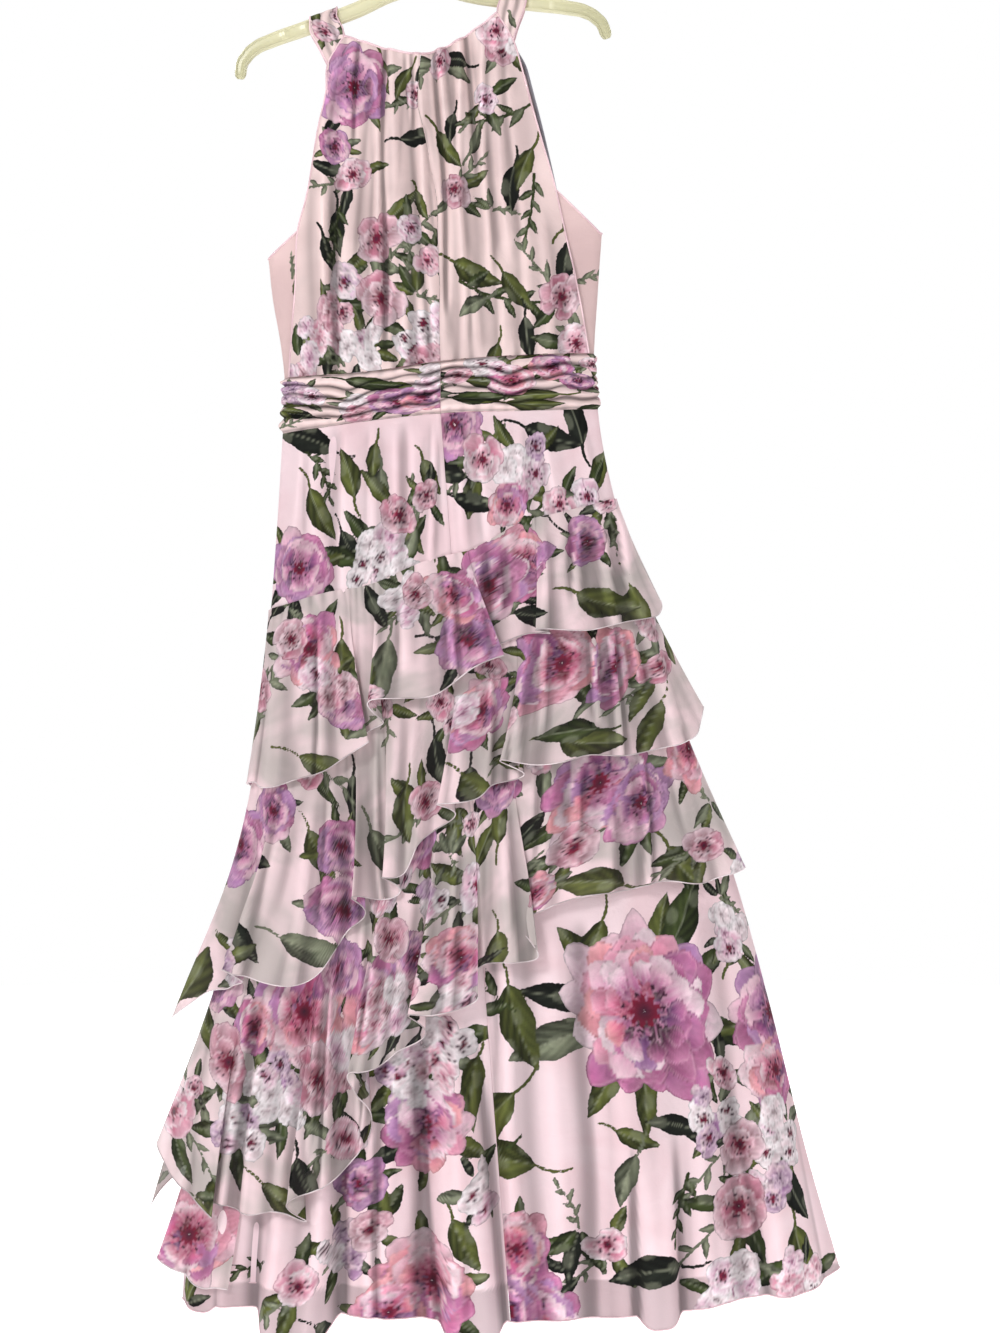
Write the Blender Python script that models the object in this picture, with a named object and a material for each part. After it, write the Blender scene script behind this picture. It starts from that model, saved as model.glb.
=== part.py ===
"""A sleeveless maxi dress with diagonal flounces, on a moulded plastic hanger.

Lengths are millimetres until a mesh is made. X runs to the right and the zipped back of the
dress faces -Y. The origin is the inner top of the hanger's hook, and a place on the dress is
given by x and by its drop, the distance below the origin. The body of the dress is a
flattened tube: a turn of 0 degrees is its right edge, 90 the back, 180 the left edge and 270
the front. Each piece of cloth is a grid of points on that tube, made into a thin wall.
"""

import math

import bmesh
import bpy
import numpy as np

MM = 0.001
WALL = 1.2  # thickness of a wall of cloth
SEAM = 0.3  # gap between two pieces at a seam
OVERLAY_LIFT = 2.2  # the gathered bodice, out from the fitted side panels
FLOUNCE_LIFT = 2.0  # the top of a flounce, out from the skirt
UNDERLAP = 14.0  # a side panel goes this far under the gathered bodice
BACK, FRONT = 1, -1  # sign of the sine of the turn


def columns(names, *rows):
    """A table: each named column as an array."""
    values = np.array(rows, float)
    return {name: values[:, i] for i, name in enumerate(names.split())}


# The body's edges and thickness at each drop. Above the underarm they only set its curve.
BODY = columns(
    "drop left right depth",
    (108, -155, 232, 22),
    (266, -155, 232, 38),
    (395, -151, 227, 52),
    (422, -148, 225, 54),
    (468, -143, 222, 54),
    (513, -135, 219, 50),
    (556, -130, 218, 46),
    (586, -130, 222, 44),
    (618, -132, 226, 48),
    (716, -138, 248, 64),
    (850, -148, 289, 84),
    (986, -161, 330, 100),
    (1113, -177, 375, 114),
    (1256, -209, 415, 128),
    (1436, -235, 460, 143),
    (1593, -245, 505, 153),
    (1640, -248, 517, 156),
)

# The gathered back, from neckline to waist: left edge, centre seam and right edge.
BODICE = columns(
    "left left_drop seam seam_drop right right_drop",
    (-62, 173, 24, 195, 109, 147),
    (-80, 205, 22, 220, 127, 178),
    (-82, 237, 21, 252, 136, 207),
    (-90, 277, 28, 284, 146, 245),
    (-97, 320, 35, 322, 159, 291),
    (-105, 359, 42, 361, 172, 336),
    (-114, 395, 43, 400, 183, 384),
    (-116, 451, 45, 451, 196, 446),
    (-120, 500, 45, 496, 205, 490),
    (-124, 556, 46, 540, 211, 528),
)
NECK_BOW = 1.6  # how much the neckline flattens towards the centre seam
FRONT_ARMHOLE = 6.0  # the front reaches this much further out at the right armhole

# The seams above and below the waistband.
WAIST = columns(
    "x top bottom",
    (-130, 556, 618),
    (-22, 549, 604),
    (46, 539, 597),
    (135, 532, 594),
    (222, 528, 591),
)
RUCHES = 5
RUCHE_LIFT = 2.4

# The top edge of each side panel under the arm: at the body's edge and at its inner end.
UNDERARM = columns(
    "edge edge_drop inner inner_drop",
    (-148, 422, -100, 380),
    (225, 393, 164, 336),
)

# Pleats of the gathered bodice and upper skirt. Each fades out at both ends.
PLEATS = columns(
    "side top_x top_drop low_x low_drop half_width lift",
    (BACK, -74, 190, -96, 340, 10, 4),
    (BACK, -38, 150, -70, 520, 14, 5),
    (BACK, -4, 150, -20, 430, 15, 5),
    (BACK, 10, 150, 32, 420, 10, 5),
    (BACK, 38, 150, 62, 380, 10, 5),
    (BACK, 64, 150, 76, 330, 11, 4),
    (BACK, 98, 160, 124, 420, 15, 5),
    (BACK, -94, 618, -95, 745, 13, 6),
    (BACK, -50, 606, -54, 745, 17, 4),
    (BACK, 20, 598, 20, 735, 17, 4),
    (BACK, 110, 596, 116, 690, 20, 3),
    (FRONT, -60, 190, -90, 420, 13, 5),
    (FRONT, -24, 150, -40, 520, 15, 5),
    (FRONT, 10, 150, 10, 400, 14, 5),
    (FRONT, 44, 150, 60, 480, 14, 5),
    (FRONT, 90, 160, 112, 500, 15, 5),
    (FRONT, -80, 616, -92, 745, 17, 5),
    (FRONT, 30, 598, 36, 735, 20, 5),
    (FRONT, 130, 596, 138, 685, 20, 4),
)

# Long tubular folds of the skirt, which grow below the flounces and dip at the hem.
TUBES = columns(
    "side top_x top_drop hem_x half_width lift dip",
    (BACK, -216, 1500, -222, 22, 9, 8),
    (BACK, -108, 1480, -112, 48, 34, 34),
    (BACK, 48, 1270, 82, 38, 34, 26),
    (BACK, 280, 1380, 288, 26, 20, 14),
    (BACK, 385, 1260, 440, 34, 14, 6),
    (FRONT, -196, 1500, -204, 30, 9, 10),
    (FRONT, -62, 1440, -60, 44, 30, 26),
    (FRONT, 60, 1300, 70, 34, 24, 18),
    (FRONT, 190, 1180, 205, 48, 34, 30),
    (FRONT, 340, 1200, 365, 36, 22, 14),
)
TUBE_GROWTH = 150.0  # a tube reaches its full height in this length
PLEAT_FADE = 25.0  # a pleat rises from the cloth and sinks into it in this length
PLEAT_ROUND, TUBE_ROUND = 2, 4  # how blunt their sections are
SIDE_FADE = 0.35  # sine of the turn at which a fold has its full height
HEM = columns("x drop", (-250, 1590), (256, 1594), (330, 1588), (520, 1550))
SKIRT_ROWS = np.array([0, 0.03, 0.09, 0.165, 0.26, 0.37, 0.5, 0.67, 0.8, 0.91, 1])
TUBE_COLUMNS = (0, -0.55, 0.55, -0.8, 0.8, -1, 1)  # across a fold, in half widths
EDGE_STEP = 3.0  # degrees of turn between the two columns nearest to a side seam
SPARE_STEP = 13.0  # and between columns where there is no fold
CLOSEST_STEP = 1.2
SETTLING = 12  # rounds in which a point's drop and its edge's drop come to agree
SEAM_FOOT = (124, 1600)  # where the skirt's centre seam meets the hem
SEAM_HEAD = (46, 597)
LINING_HEM = columns("x drop", (-250, 1567), (520, 1548))
LINING_INSET = columns("drop inset", (580, 2.0), (700, 7.0), (1600, 12.0))

# Flounces, from right to left over the back. Each row is a fold's edge, trough or middle:
# where it leaves the seam, where it reaches the hem and how far the hem stands out from the
# skirt. Where two rows are close and their lifts differ, the cloth steps over a fold's edge.
FLOUNCE_1 = columns(
    "top_x top_drop hem_x hem_drop lift",
    (243, 691, 287, 806, 18),
    (233, 693, 273, 826, 20),
    (202, 702, 231, 835, 14),
    (174, 709, 186, 838, 22),
    (155, 713, 152, 842, 30),
    (146, 716, 148, 840, 14),
    (133, 720, 143, 846, 8),
    (84, 748, 118, 864, 11),
    (73, 752, 114, 867, 28),
    (58, 755, 79, 886, 28),
    (28, 763, 39, 909, 22),
    (0, 775, 0, 918, 24),
    (-22, 785, -21, 918, 30),
    (-34, 789, -27, 943, 16),
    (-45, 792, -33, 956, 11),
    (-54, 793, -39, 965, 14),
    (-62, 794, -46, 966, 27),
    (-75, 796, -62, 982, 24),
    (-96, 801, -90, 1002, 20),
    (-118, 808, -124, 1010, 15),
    (-132, 812, -149, 1012, 12),
    (-143, 815, -159, 1012, 10),
    (-148, 817, -165, 1011, 9),
)
FLOUNCE_2 = columns(
    "top_x top_drop hem_x hem_drop lift",
    (279, 794, 317, 925, 30),
    (270, 808, 313, 961, 16),
    (248, 819, 270, 972, 16),
    (219, 822, 225, 979, 20),
    (191, 825, 191, 982, 26),
    (163, 826, 146, 986, 26),
    (141, 830, 114, 986, 30),
    (127, 837, 110, 996, 15),
    (114, 846, 106, 1012, 8),
    (96, 857, 88, 1024, 20),
    (73, 867, 47, 1030, 28),
    (58, 875, 43, 1045, 14),
    (45, 882, 39, 1058, 8),
    (26, 891, 24, 1078, 16),
    (8, 899, 9, 1105, 24),
    (-11, 907, -12, 1112, 29),
    (-22, 918, -16, 1128, 14),
    (-34, 932, -20, 1135, 8),
    (-44, 942, -44, 1136, 26),
    (-52, 951, -48, 1150, 13),
    (-60, 962, -56, 1175, 8),
    (-75, 976, -84, 1218, 20),
    (-92, 986, -124, 1230, 28),
    (-112, 990, -163, 1224, 30),
    (-129, 992, -177, 1213, 28),
    (-139, 993, -181, 1232, 14),
    (-148, 993, -185, 1236, 9),
    (-156, 992, -199, 1242, 16),
    (-162, 990, -214, 1274, 44),
)
FLOUNCE_3 = columns(
    "top_x top_drop hem_x hem_drop lift",
    (326, 946, 380, 1105, 16),
    (309, 952, 354, 1116, 10),
    (281, 956, 326, 1118, 14),
    (264, 961, 295, 1120, 20),
    (245, 965, 262, 1122, 10),
    (215, 969, 215, 1132, 18),
    (180, 971, 165, 1146, 16),
    (144, 974, 151, 1152, 9),
    (130, 981, 147, 1160, 12),
    (119, 992, 143, 1194, 28),
    (101, 1006, 112, 1206, 24),
    (91, 1010, 92, 1212, 9),
    (84, 1012, 88, 1222, 12),
    (76, 1014, 84, 1246, 27),
    (62, 1017, 45, 1258, 26),
    (45, 1022, 15, 1264, 29),
    (34, 1030, 11, 1280, 14),
    (22, 1044, 7, 1300, 8),
    (6, 1070, -6, 1310, 18),
    (-6, 1092, -28, 1320, 22),
    (-16, 1103, -49, 1332, 28),
    (-28, 1114, -53, 1368, 14),
    (-42, 1126, -57, 1408, 8),
    (-56, 1143, -62, 1438, 12),
    (-68, 1185, -92, 1455, 26),
    (-80, 1200, -113, 1472, 34),
    (-94, 1208, -117, 1487, 18),
    (-108, 1213, -124, 1484, 12),
    (-122, 1217, -150, 1482, 18),
    (-138, 1217, -176, 1481, 9),
    (-156, 1217, -193, 1477, 13),
    (-170, 1217, -197, 1485, 26),
    (-187, 1219, -218, 1470, 26),
    (-198, 1223, -229, 1449, 28),
    (-207, 1230, -235, 1415, 41),
)
FLOUNCE_4 = columns(
    "top_x top_drop hem_x hem_drop lift",
    (-172, 1466, -186, 1570, 10),
    (-190, 1458, -204, 1568, 18),
    (-209, 1450, -222, 1564, 14),
    (-227, 1438, -234, 1556, 20),
    (-235, 1424, -241, 1539, 30),
)
FRONT_CORNER = 70.0  # the front of flounce 3 hangs this much lower at its left corner
FLOUNCE_DOWN = np.array([0, 0.12, 0.3, 0.6, 1])
FLARE = 1.4  # a flounce leaves the skirt slowly and flares to its hem

# The halter straps, from the bodice's corner up to the side of the hanger's arm. The last
# row has no drop of its own: it lies on the arm's top.
STRAP_LEFT = columns(
    "inner inner_drop outer outer_drop",
    (-62.4, 172.8, -80.4, 204.8),
    (-64, 164, -91, 184),
    (-68, 156, -100, 168),
    (-71, 149, -101, 158),
)
STRAP_RIGHT = columns(
    "inner inner_drop outer outer_drop",
    (109.4, 146.8, 127.4, 177.8),
    (110, 140, 133, 159),
    (112, 133, 139, 144),
    (113, 128, 142, 132),
)
STRAP_OVER = 7.0  # half the strap's loop over the arm
STRAP_SQUARE = 0.5  # the loop's section is square rather than round
STRAP_ANGLES = (20, 50, 70, 90)
STRAP_CLEAR = 2.0  # the strap's middle, above the arm's top

# The hanger, in its own upright frame, from the middle to one tip.
HANGER_ARM = columns(
    "across drop size",
    (0, 117, 1.0),
    (30, 122, 1.0),
    (65, 134, 1.0),
    (130, 150, 0.95),
    (168, 159, 0.9),
    (186, 165, 0.85),
    (198, 174, 0.8),
    (205, 185, 0.76),
    (208, 198, 0.74),
)
HANGER_TILT = math.radians(6.3)
ARM_PLACES = [0, 30, 65, 130, 168, 182, 192, 199, 204, 207, 208]  # where its path bends
ARM_SLOPE = math.radians(14)
HANGER_AXIS = 5.0  # the arms' middle, to the right of the hook's
ARM_HEIGHT = 18.0
ARM_THICK = 10.0
# A quarter of the arm's section, from web to rib, in halves of its thickness and height.
ARM_QUARTER = ((0.55, 0.4), (1, 0.62), (0.9, 1))
HOOK_INSIDE = 22.0  # radius of the hook's inside
HOOK_WIRE = 3.6  # radius of the hook's rod
HOOK_STEM = columns("x drop", (5, 117), (5, 84), (7, 68), (14, 54), (23, 40))
HOOK_END_TURN = 205.0
HOOK_STEPS = 15

EYE_WIRE = 0.7  # radius of the neck hook's wire
HOOK_LIFT = 1.2  # the hook lies on the pleats beside it
HOOK_DROP = 7.0  # below the neckline
HOOK_WIRE_BEND = columns(
    "across down",
    (-4.5, 1.6),
    (0.5, 1.6),
    (2.6, 1.1),
    (3.2, 0),
    (2.6, -1.1),
    (0.5, -1.6),
    (-4.5, -1.6),
)


def through(table, key, name):
    """A smooth function through a table's column."""
    xs = table[key]
    ys = table[name]
    slope = np.gradient(ys, xs)

    def at(x):
        x = np.clip(x, xs[0], xs[-1])
        i = np.clip(np.searchsorted(xs, x) - 1, 0, len(xs) - 2)
        span = xs[i + 1] - xs[i]
        t = (x - xs[i]) / span
        rise = ys[i + 1] - ys[i]
        bend = slope[i] * span * t * (1 - t) ** 2 - slope[i + 1] * span * t**2 * (1 - t)
        return ys[i] + rise * t**2 * (3 - 2 * t) + bend

    return at


left_at = through(BODY, "drop", "left")
right_at = through(BODY, "drop", "right")
depth_at = through(BODY, "drop", "depth")
waist_top = through(WAIST, "x", "top")
waist_bottom = through(WAIST, "x", "bottom")
hem_line = through(HEM, "x", "drop")
lining_hem = through(LINING_HEM, "x", "drop")
lining_inset = through(LINING_INSET, "drop", "inset")


def ease(t):
    t = np.clip(t, 0, 1)
    return t * t * (3 - 2 * t)


def bump(q, flatness):
    """A fold's section: 1 in its middle and 0 at its feet, where q is -1 and 1."""
    return (1 - np.minimum(np.abs(q), 1) ** flatness) ** 2


def on_side(side, turn):
    """1 on that side of the body, fading to 0 at its edges."""
    return ease(side * np.sin(np.radians(turn)) / SIDE_FADE)


def fold_lift(x, drop, turn):
    """How far the folds raise the cloth."""
    lift = np.zeros_like(x)
    for side, x0, d0, x1, d1, half, high in zip(*PLEATS.values()):
        middle = x0 + (x1 - x0) * (drop - d0) / (d1 - d0)
        fade = ease((drop - d0) / PLEAT_FADE) * ease((d1 - drop) / PLEAT_FADE)
        lift += high * bump((x - middle) / half, PLEAT_ROUND) * fade * on_side(side, turn)
    for side, x0, d0, x1, half, high, _ in zip(*TUBES.values()):
        middle = x0 + (x1 - x0) * (drop - d0) / (hem_line(x1) - d0)
        grown = ease((drop - d0) / TUBE_GROWTH)
        lift += high * bump((x - middle) / half, TUBE_ROUND) * grown * on_side(side, turn)
    return lift


def hem_drop(x, turn):
    """The skirt's hem, which dips under each long fold."""
    drop = hem_line(x)
    for side, _, _, x1, half, _, dip in zip(*TUBES.values()):
        drop = drop + dip * bump((x - x1) / half, TUBE_ROUND) * on_side(side, turn)
    return drop


def body_x(turn, drop, inset=0.0):
    middle = (left_at(drop) + right_at(drop)) / 2
    half = (right_at(drop) - left_at(drop)) / 2 - inset
    return middle + half * np.cos(np.radians(turn))


def turn_at(x, drop, side=BACK):
    """The turn at which the body's surface has this x."""
    middle = (left_at(drop) + right_at(drop)) / 2
    half = (right_at(drop) - left_at(drop)) / 2
    turn = np.degrees(np.arccos(np.clip((x - middle) / half, -1, 1)))
    return turn if side == BACK else 360 - turn


def on_body(turn, drop, lift=0.0, inset=0.0, folded=True):
    """Points at these turns and drops, raised along the body's outward direction."""
    half = (right_at(drop) - left_at(drop)) / 2 - inset
    deep = depth_at(drop) / 2 - inset
    angle = np.radians(turn)
    x = body_x(turn, drop, inset)
    y = -deep * np.sin(angle)
    out_x = deep * np.cos(angle)
    out_y = -half * np.sin(angle)
    size = np.hypot(out_x, out_y)
    if folded:
        lift = lift + fold_lift(x, drop, turn)
    return np.stack([x + out_x / size * lift, y + out_y / size * lift, -drop], axis=-1)


def seam_turn(drop):
    """Half a seam's gap at the body's edge, in degrees."""
    return np.degrees(SEAM / depth_at(drop))


# --- meshes -----------------------------------------------------------------------------


def finish_object(obj, material, collection):
    obj.data.materials.clear()
    obj.data.materials.append(material)
    collection.objects.link(obj)
    return obj


def normals_of(surface, u, w):
    """The unit normals of a surface at these parameters."""
    step = 0.001
    across = surface(u + step, w) - surface(u - step, w)
    along = surface(u, w + step) - surface(u, w - step)
    normal = np.cross(across, along)
    return normal / np.linalg.norm(normal, axis=-1, keepdims=True)


def grid_normals(grid):
    """The unit normals of a grid from its own points."""
    normal = np.cross(np.gradient(grid, axis=1), np.gradient(grid, axis=0))
    return normal / np.linalg.norm(normal, axis=-1, keepdims=True)


def level(normal, axis):
    """The same directions without their component along an axis."""
    normal = normal.copy()
    normal[..., axis] = 0
    return normal / np.linalg.norm(normal, axis=-1, keepdims=True)


def cloth(name, piece, material, collection):
    """A closed wall round a grid of points, whose rows run down the piece."""
    grid, normal = piece
    rows, across, _ = grid.shape
    points = np.concatenate([grid + normal * WALL / 2, grid - normal * WALL / 2])
    number = np.arange(2 * rows * across).reshape(2, rows, across)
    edges = [
        np.concatenate([side[0, :-1], side[:-1, -1], side[-1, :0:-1], side[:0:-1, 0]])
        for side in number
    ]
    ahead = [np.roll(edge, -1) for edge in edges]
    here, right, below, beyond = (number[:, :-1, :-1], number[:, :-1, 1:],
                                  number[:, 1:, :-1], number[:, 1:, 1:])
    outer = np.stack([here[0], right[0], beyond[0], below[0]], axis=-1)
    inner = np.stack([here[1], below[1], beyond[1], right[1]], axis=-1)
    rim = np.stack([ahead[0], edges[0], edges[1], ahead[1]], axis=-1)
    faces = np.concatenate([outer.reshape(-1, 4), inner.reshape(-1, 4), rim])
    mesh = bpy.data.meshes.new(name)
    mesh.from_pydata((points.reshape(-1, 3) * MM).tolist(), [], faces.tolist())
    mesh.shade_smooth()
    mesh.set_sharp_from_angle(angle=math.radians(60))
    return finish_object(bpy.data.objects.new(name, mesh), material, collection)


def panel(start, end, across, down, top, bottom, lift=None, inset=None, folded=True):
    """A grid of points on the body, with its normals. start and end give its side edges'
    turn at a drop, and top and bottom its upper and lower edges' drop at an x and a turn.
    across and down are its columns' and rows' places, from 0 to 1."""

    def surface(u, w):
        drop = np.full_like(u, WAIST["bottom"][0])
        for _ in range(SETTLING):
            turn = start(drop) + (end(drop) - start(drop)) * u
            x = body_x(turn, drop)
            drop = top(x, turn) * (1 - w) + bottom(x, turn) * w
        raised = lift(x, w, turn) if lift else 0.0
        return on_body(turn, drop, raised, inset(drop) if inset else 0.0, folded)

    u, w = np.meshgrid(across, down)
    normal = normals_of(surface, u, w)
    normal[[0, -1]] = level(normal[[0, -1]], 2)
    return surface(u, w), normal


def evenly(count):
    return np.linspace(0, 1, count)


# --- bodice -----------------------------------------------------------------------------


def bodice_half(edge, side, across, down, reach=0.0):
    """One half of the gathered bodice, from its outer edge to the centre line. The edge
    under the strap is the first step down, from level 0 to level 1."""
    last = len(BODICE["seam"]) - 1.0
    table = dict(BODICE, level=np.arange(last + 1))
    columns_at = {name: through(table, "level", name) for name in BODICE}
    outwards = 1 if edge == "right" else -1

    def surface(u, step):
        at = np.where(step < 1, step, 1 + (step - 1) * (last - 1) / (down - 2))
        beyond = outwards * reach * ease((6 - at) / 3) * ease(at - 1)
        outer = columns_at[edge](at) + beyond
        outer_drop = columns_at[f"{edge}_drop"](at)
        seam = columns_at["seam"](at) + outwards * SEAM / 2
        seam_drop = columns_at["seam_drop"](at)
        x = outer + (seam - outer) * u
        bow = np.abs(1 - u) ** NECK_BOW
        drop = seam_drop + (outer_drop - seam_drop) * bow
        lowest = BODICE["seam_drop"][-1] * (1 - bow) + BODICE[f"{edge}_drop"][-1] * bow
        drop = drop + (waist_top(x) - SEAM / 2 - lowest) * np.clip(at - last + 1, 0, 1)
        return on_body(turn_at(x, drop, side), drop, OVERLAY_LIFT)

    u, step = np.meshgrid(np.linspace(0, 1, across), np.arange(down, dtype=float))
    normal = normals_of(surface, u, step)
    normal[-1] = level(normal[-1], 2)
    return surface(u, step), normal


def bodice_front(across, down):
    left, left_normal = bodice_half("left", FRONT, across, down)
    right, right_normal = bodice_half("right", FRONT, across, down, FRONT_ARMHOLE)
    grid = np.concatenate([left[:, :-1], right[:, ::-1]], axis=1)
    # The two halves count across in opposite senses, so their normals are opposite too.
    return grid, np.concatenate([left_normal[:, :-1], -right_normal[:, ::-1]], axis=1)


def side_panel(index, across, down):
    """The fitted under-bodice where it shows, round one edge of the body."""
    edge, edge_drop, inner, inner_drop = (column[index] for column in UNDERARM.values())
    name = "left" if index == 0 else "right"
    outer = through(BODICE, f"{name}_drop", name)
    away = 1 if index == 0 else -1

    def inner_turn(side):
        return lambda drop: turn_at(outer(drop) + away * UNDERLAP, drop, side)

    def top(x, turn):
        rise = (x - edge) / (inner - edge)
        return edge_drop + (inner_drop - edge_drop) * np.clip(rise, 0, 1)

    def bottom(x, turn):
        return waist_top(x) - SEAM / 2

    start = inner_turn(BACK)
    end = inner_turn(FRONT)
    if index == 1:
        start, end = (lambda drop: inner_turn(FRONT)(drop) - 360), start
    return panel(start, end, evenly(across), evenly(down), top, bottom, folded=False)


def waistband_panel(start, end, across):
    """Ruched cloth: ridges that run round the waist and wander."""

    def ruched(x, w, turn):
        wander = 0.05 * np.sin(x / 31) + 0.04 * np.sin(x / 13 + turn / 40)
        ridges = np.abs(np.sin(math.pi * RUCHES * (w + wander * w * (1 - w) * 4)))
        return RUCHE_LIFT * ridges * ease(w * (1 - w) * 16)

    def top(x, turn):
        return waist_top(x) + SEAM / 2

    def bottom(x, turn):
        return waist_bottom(x) - SEAM

    down = evenly(2 * RUCHES + 1)
    return panel(start, end, evenly(across), down, top, bottom, ruched, folded=False)


# --- skirt ------------------------------------------------------------------------------


def seam_x(drop):
    (x0, d0), (x1, d1) = SEAM_HEAD, SEAM_FOOT
    return x0 + (x1 - x0) * np.maximum(drop - d0, 0) / (d1 - d0)


def right_edge(drop):
    return seam_turn(drop)


def left_edge(drop):
    return 180 - seam_turn(drop)


def front_left_edge(drop):
    return 180 + seam_turn(drop)


def front_right_edge(drop):
    return 360 - seam_turn(drop)


def centre_from_right(drop):
    return turn_at(seam_x(drop) + SEAM / 2, drop)


def centre_from_left(drop):
    return turn_at(seam_x(drop) - SEAM / 2, drop)


def skirt_places(side, start, end):
    """A skirt panel's columns, close together over the long folds and at its sides."""
    foot = SEAM_FOOT[1]
    first, last = start(foot), end(foot)
    turns = [first, first + EDGE_STEP, last - EDGE_STEP, last]
    for where, _, _, x, half, _, _ in zip(*TUBES.values()):
        if where == side:
            turns.extend(turn_at(x + half * np.array(TUBE_COLUMNS), foot, side))
    turns.extend(np.arange(0, 361, SPARE_STEP))
    kept = []
    for turn in turns:
        clear = not kept or min(abs(turn - other) for other in kept) > CLOSEST_STEP
        if first <= turn <= last and clear:
            kept.append(turn)
    return (np.sort(kept) - first) / (last - first)


def skirt_panel(side, start, end):
    def top(x, turn):
        return waist_bottom(x) + SEAM / 2

    return panel(start, end, skirt_places(side, start, end), SKIRT_ROWS, top, hem_drop)


def lining_panel(start, end, across):
    def top(x, turn):
        return waist_bottom(x) + SEAM

    def bottom(x, turn):
        return lining_hem(x)

    return panel(start, end, evenly(across), SKIRT_ROWS, top, bottom, inset=lining_inset,
                 folded=False)


def flounce_rows(table, side, seamed=True, corner=0.0):
    """A flounce's rows as turns and drops. The front has about half as many folds."""
    rows = {name: column.copy() for name, column in table.items()}
    if side == FRONT and seamed:
        last = len(rows["lift"]) - 1
        taken = np.concatenate([[0, 1], np.arange(2, last - 1, 2), [last - 1, last]])
        rows = {name: column[taken] for name, column in rows.items()}
        rows["hem_drop"][-1] += corner
    for place in ("top", "hem"):
        drop = rows[f"{place}_drop"]
        turn = turn_at(rows[f"{place}_x"], drop)
        turn[-1] = 180
        if seamed:
            turn[0] = seam_turn(drop[0])
            turn[-1] -= seam_turn(drop[-1])
        rows[f"{place}_turn"] = turn if side == BACK else 360 - turn
    return rows


def spline(values, places):
    """Catmull-Rom through evenly spaced values."""
    padded = np.concatenate([[2 * values[0] - values[1]], values, [2 * values[-1] - values[-2]]])
    i = np.clip(places.astype(int), 0, len(values) - 2)
    t = places - i
    before, here, there, after = (padded[i + k] for k in range(4))
    curve = 2 * here + (there - before) * t
    curve += (2 * before - 5 * here + 4 * there - after) * t**2
    curve += (3 * here - before - 3 * there + after) * t**3
    return curve / 2


def flounce(rows, down, seamed=True):
    """A strip sewn on along its top, which stands out in folds towards its hem."""
    last = len(rows["lift"]) - 1

    def surface(place, v):
        at = {name: spline(column, place) for name, column in rows.items()}
        turn = at["top_turn"] + (at["hem_turn"] - at["top_turn"]) * v
        drop = at["top_drop"] + (at["hem_drop"] - at["top_drop"]) * v
        if seamed:
            sides = np.sort([rows["hem_turn"][0], rows["hem_turn"][-1]])
            turn = np.clip(turn, *sides)
        lift = FLOUNCE_LIFT + (at["lift"] - FLOUNCE_LIFT) * np.abs(v) ** FLARE
        return on_body(turn, drop, lift, folded=False)

    place, v = np.meshgrid(np.linspace(0, last, 2 * last + 1), down)
    grid = surface(place, v)
    normal = grid_normals(grid)
    if seamed:
        normal[:, [0, -1]] = level(normal[:, [0, -1]], 1)
    return grid, normal


def flounce_round_left(table):
    """The rows of a short flounce that wraps the left edge without a seam."""
    back = flounce_rows(table, BACK, seamed=False)
    front = flounce_rows(table, FRONT, seamed=False)
    return {name: np.concatenate([back[name], front[name][-2::-1]]) for name in back}


# --- straps, hanger and neck hook -------------------------------------------------------


def strap(table):
    """A band from the back of the bodice over the hanger's arm to the front."""
    rows = [list(row) for row in zip(*table.values())]
    for i, row in enumerate(rows):
        x, drop = (row[0] + row[2]) / 2, (row[1] + row[3]) / 2
        flat = on_body(turn_at(x, drop), drop, OVERLAY_LIFT, folded=False)[1]
        row.append(flat + (-STRAP_OVER - flat) * ease(i / (len(rows) - 1)))
    side = rows[-1]
    over = [arm_top(side[0]) - STRAP_CLEAR, arm_top(side[2]) - STRAP_CLEAR]
    for angle in STRAP_ANGLES:
        up = math.sin(math.radians(angle)) ** STRAP_SQUARE
        inner_drop = side[1] + (over[0] - side[1]) * up
        outer_drop = side[3] + (over[1] - side[3]) * up
        y = -STRAP_OVER * math.cos(math.radians(angle)) ** STRAP_SQUARE
        rows.append([side[0], inner_drop, side[2], outer_drop, y])
    front = [row[:4] + [-row[4]] for row in rows[-2::-1]]
    grid = []
    for inner, inner_drop, outer, outer_drop, y in rows + front:
        for part in (0, 0.5, 1):
            drop = inner_drop + (outer_drop - inner_drop) * part
            grid.append((inner + (outer - inner) * part, y, -drop))
    grid = np.array(grid).reshape(-1, 3, 3)
    return grid, grid_normals(grid)


def hung(x, drop):
    """A place in the hanger's upright frame, tilted about the hook."""
    cos, sin = math.cos(HANGER_TILT), math.sin(HANGER_TILT)
    return (x * cos + drop * sin, 0.0, x * sin - drop * cos)


def arm_top(x):
    """The drop of the arm's upper edge at an x of the tilted hanger."""
    drop_at = through(HANGER_ARM, "across", "drop")
    size_at = through(HANGER_ARM, "across", "size")
    across = np.linspace(-180, 180, 73)
    half = ARM_HEIGHT / 2 * size_at(np.abs(across)) / math.cos(ARM_SLOPE)
    places = [hung(HANGER_AXIS + a, d) for a, d in zip(across, drop_at(np.abs(across)) - half)]
    return float(np.interp(x, [place[0] for place in places], [-place[2] for place in places]))


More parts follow.
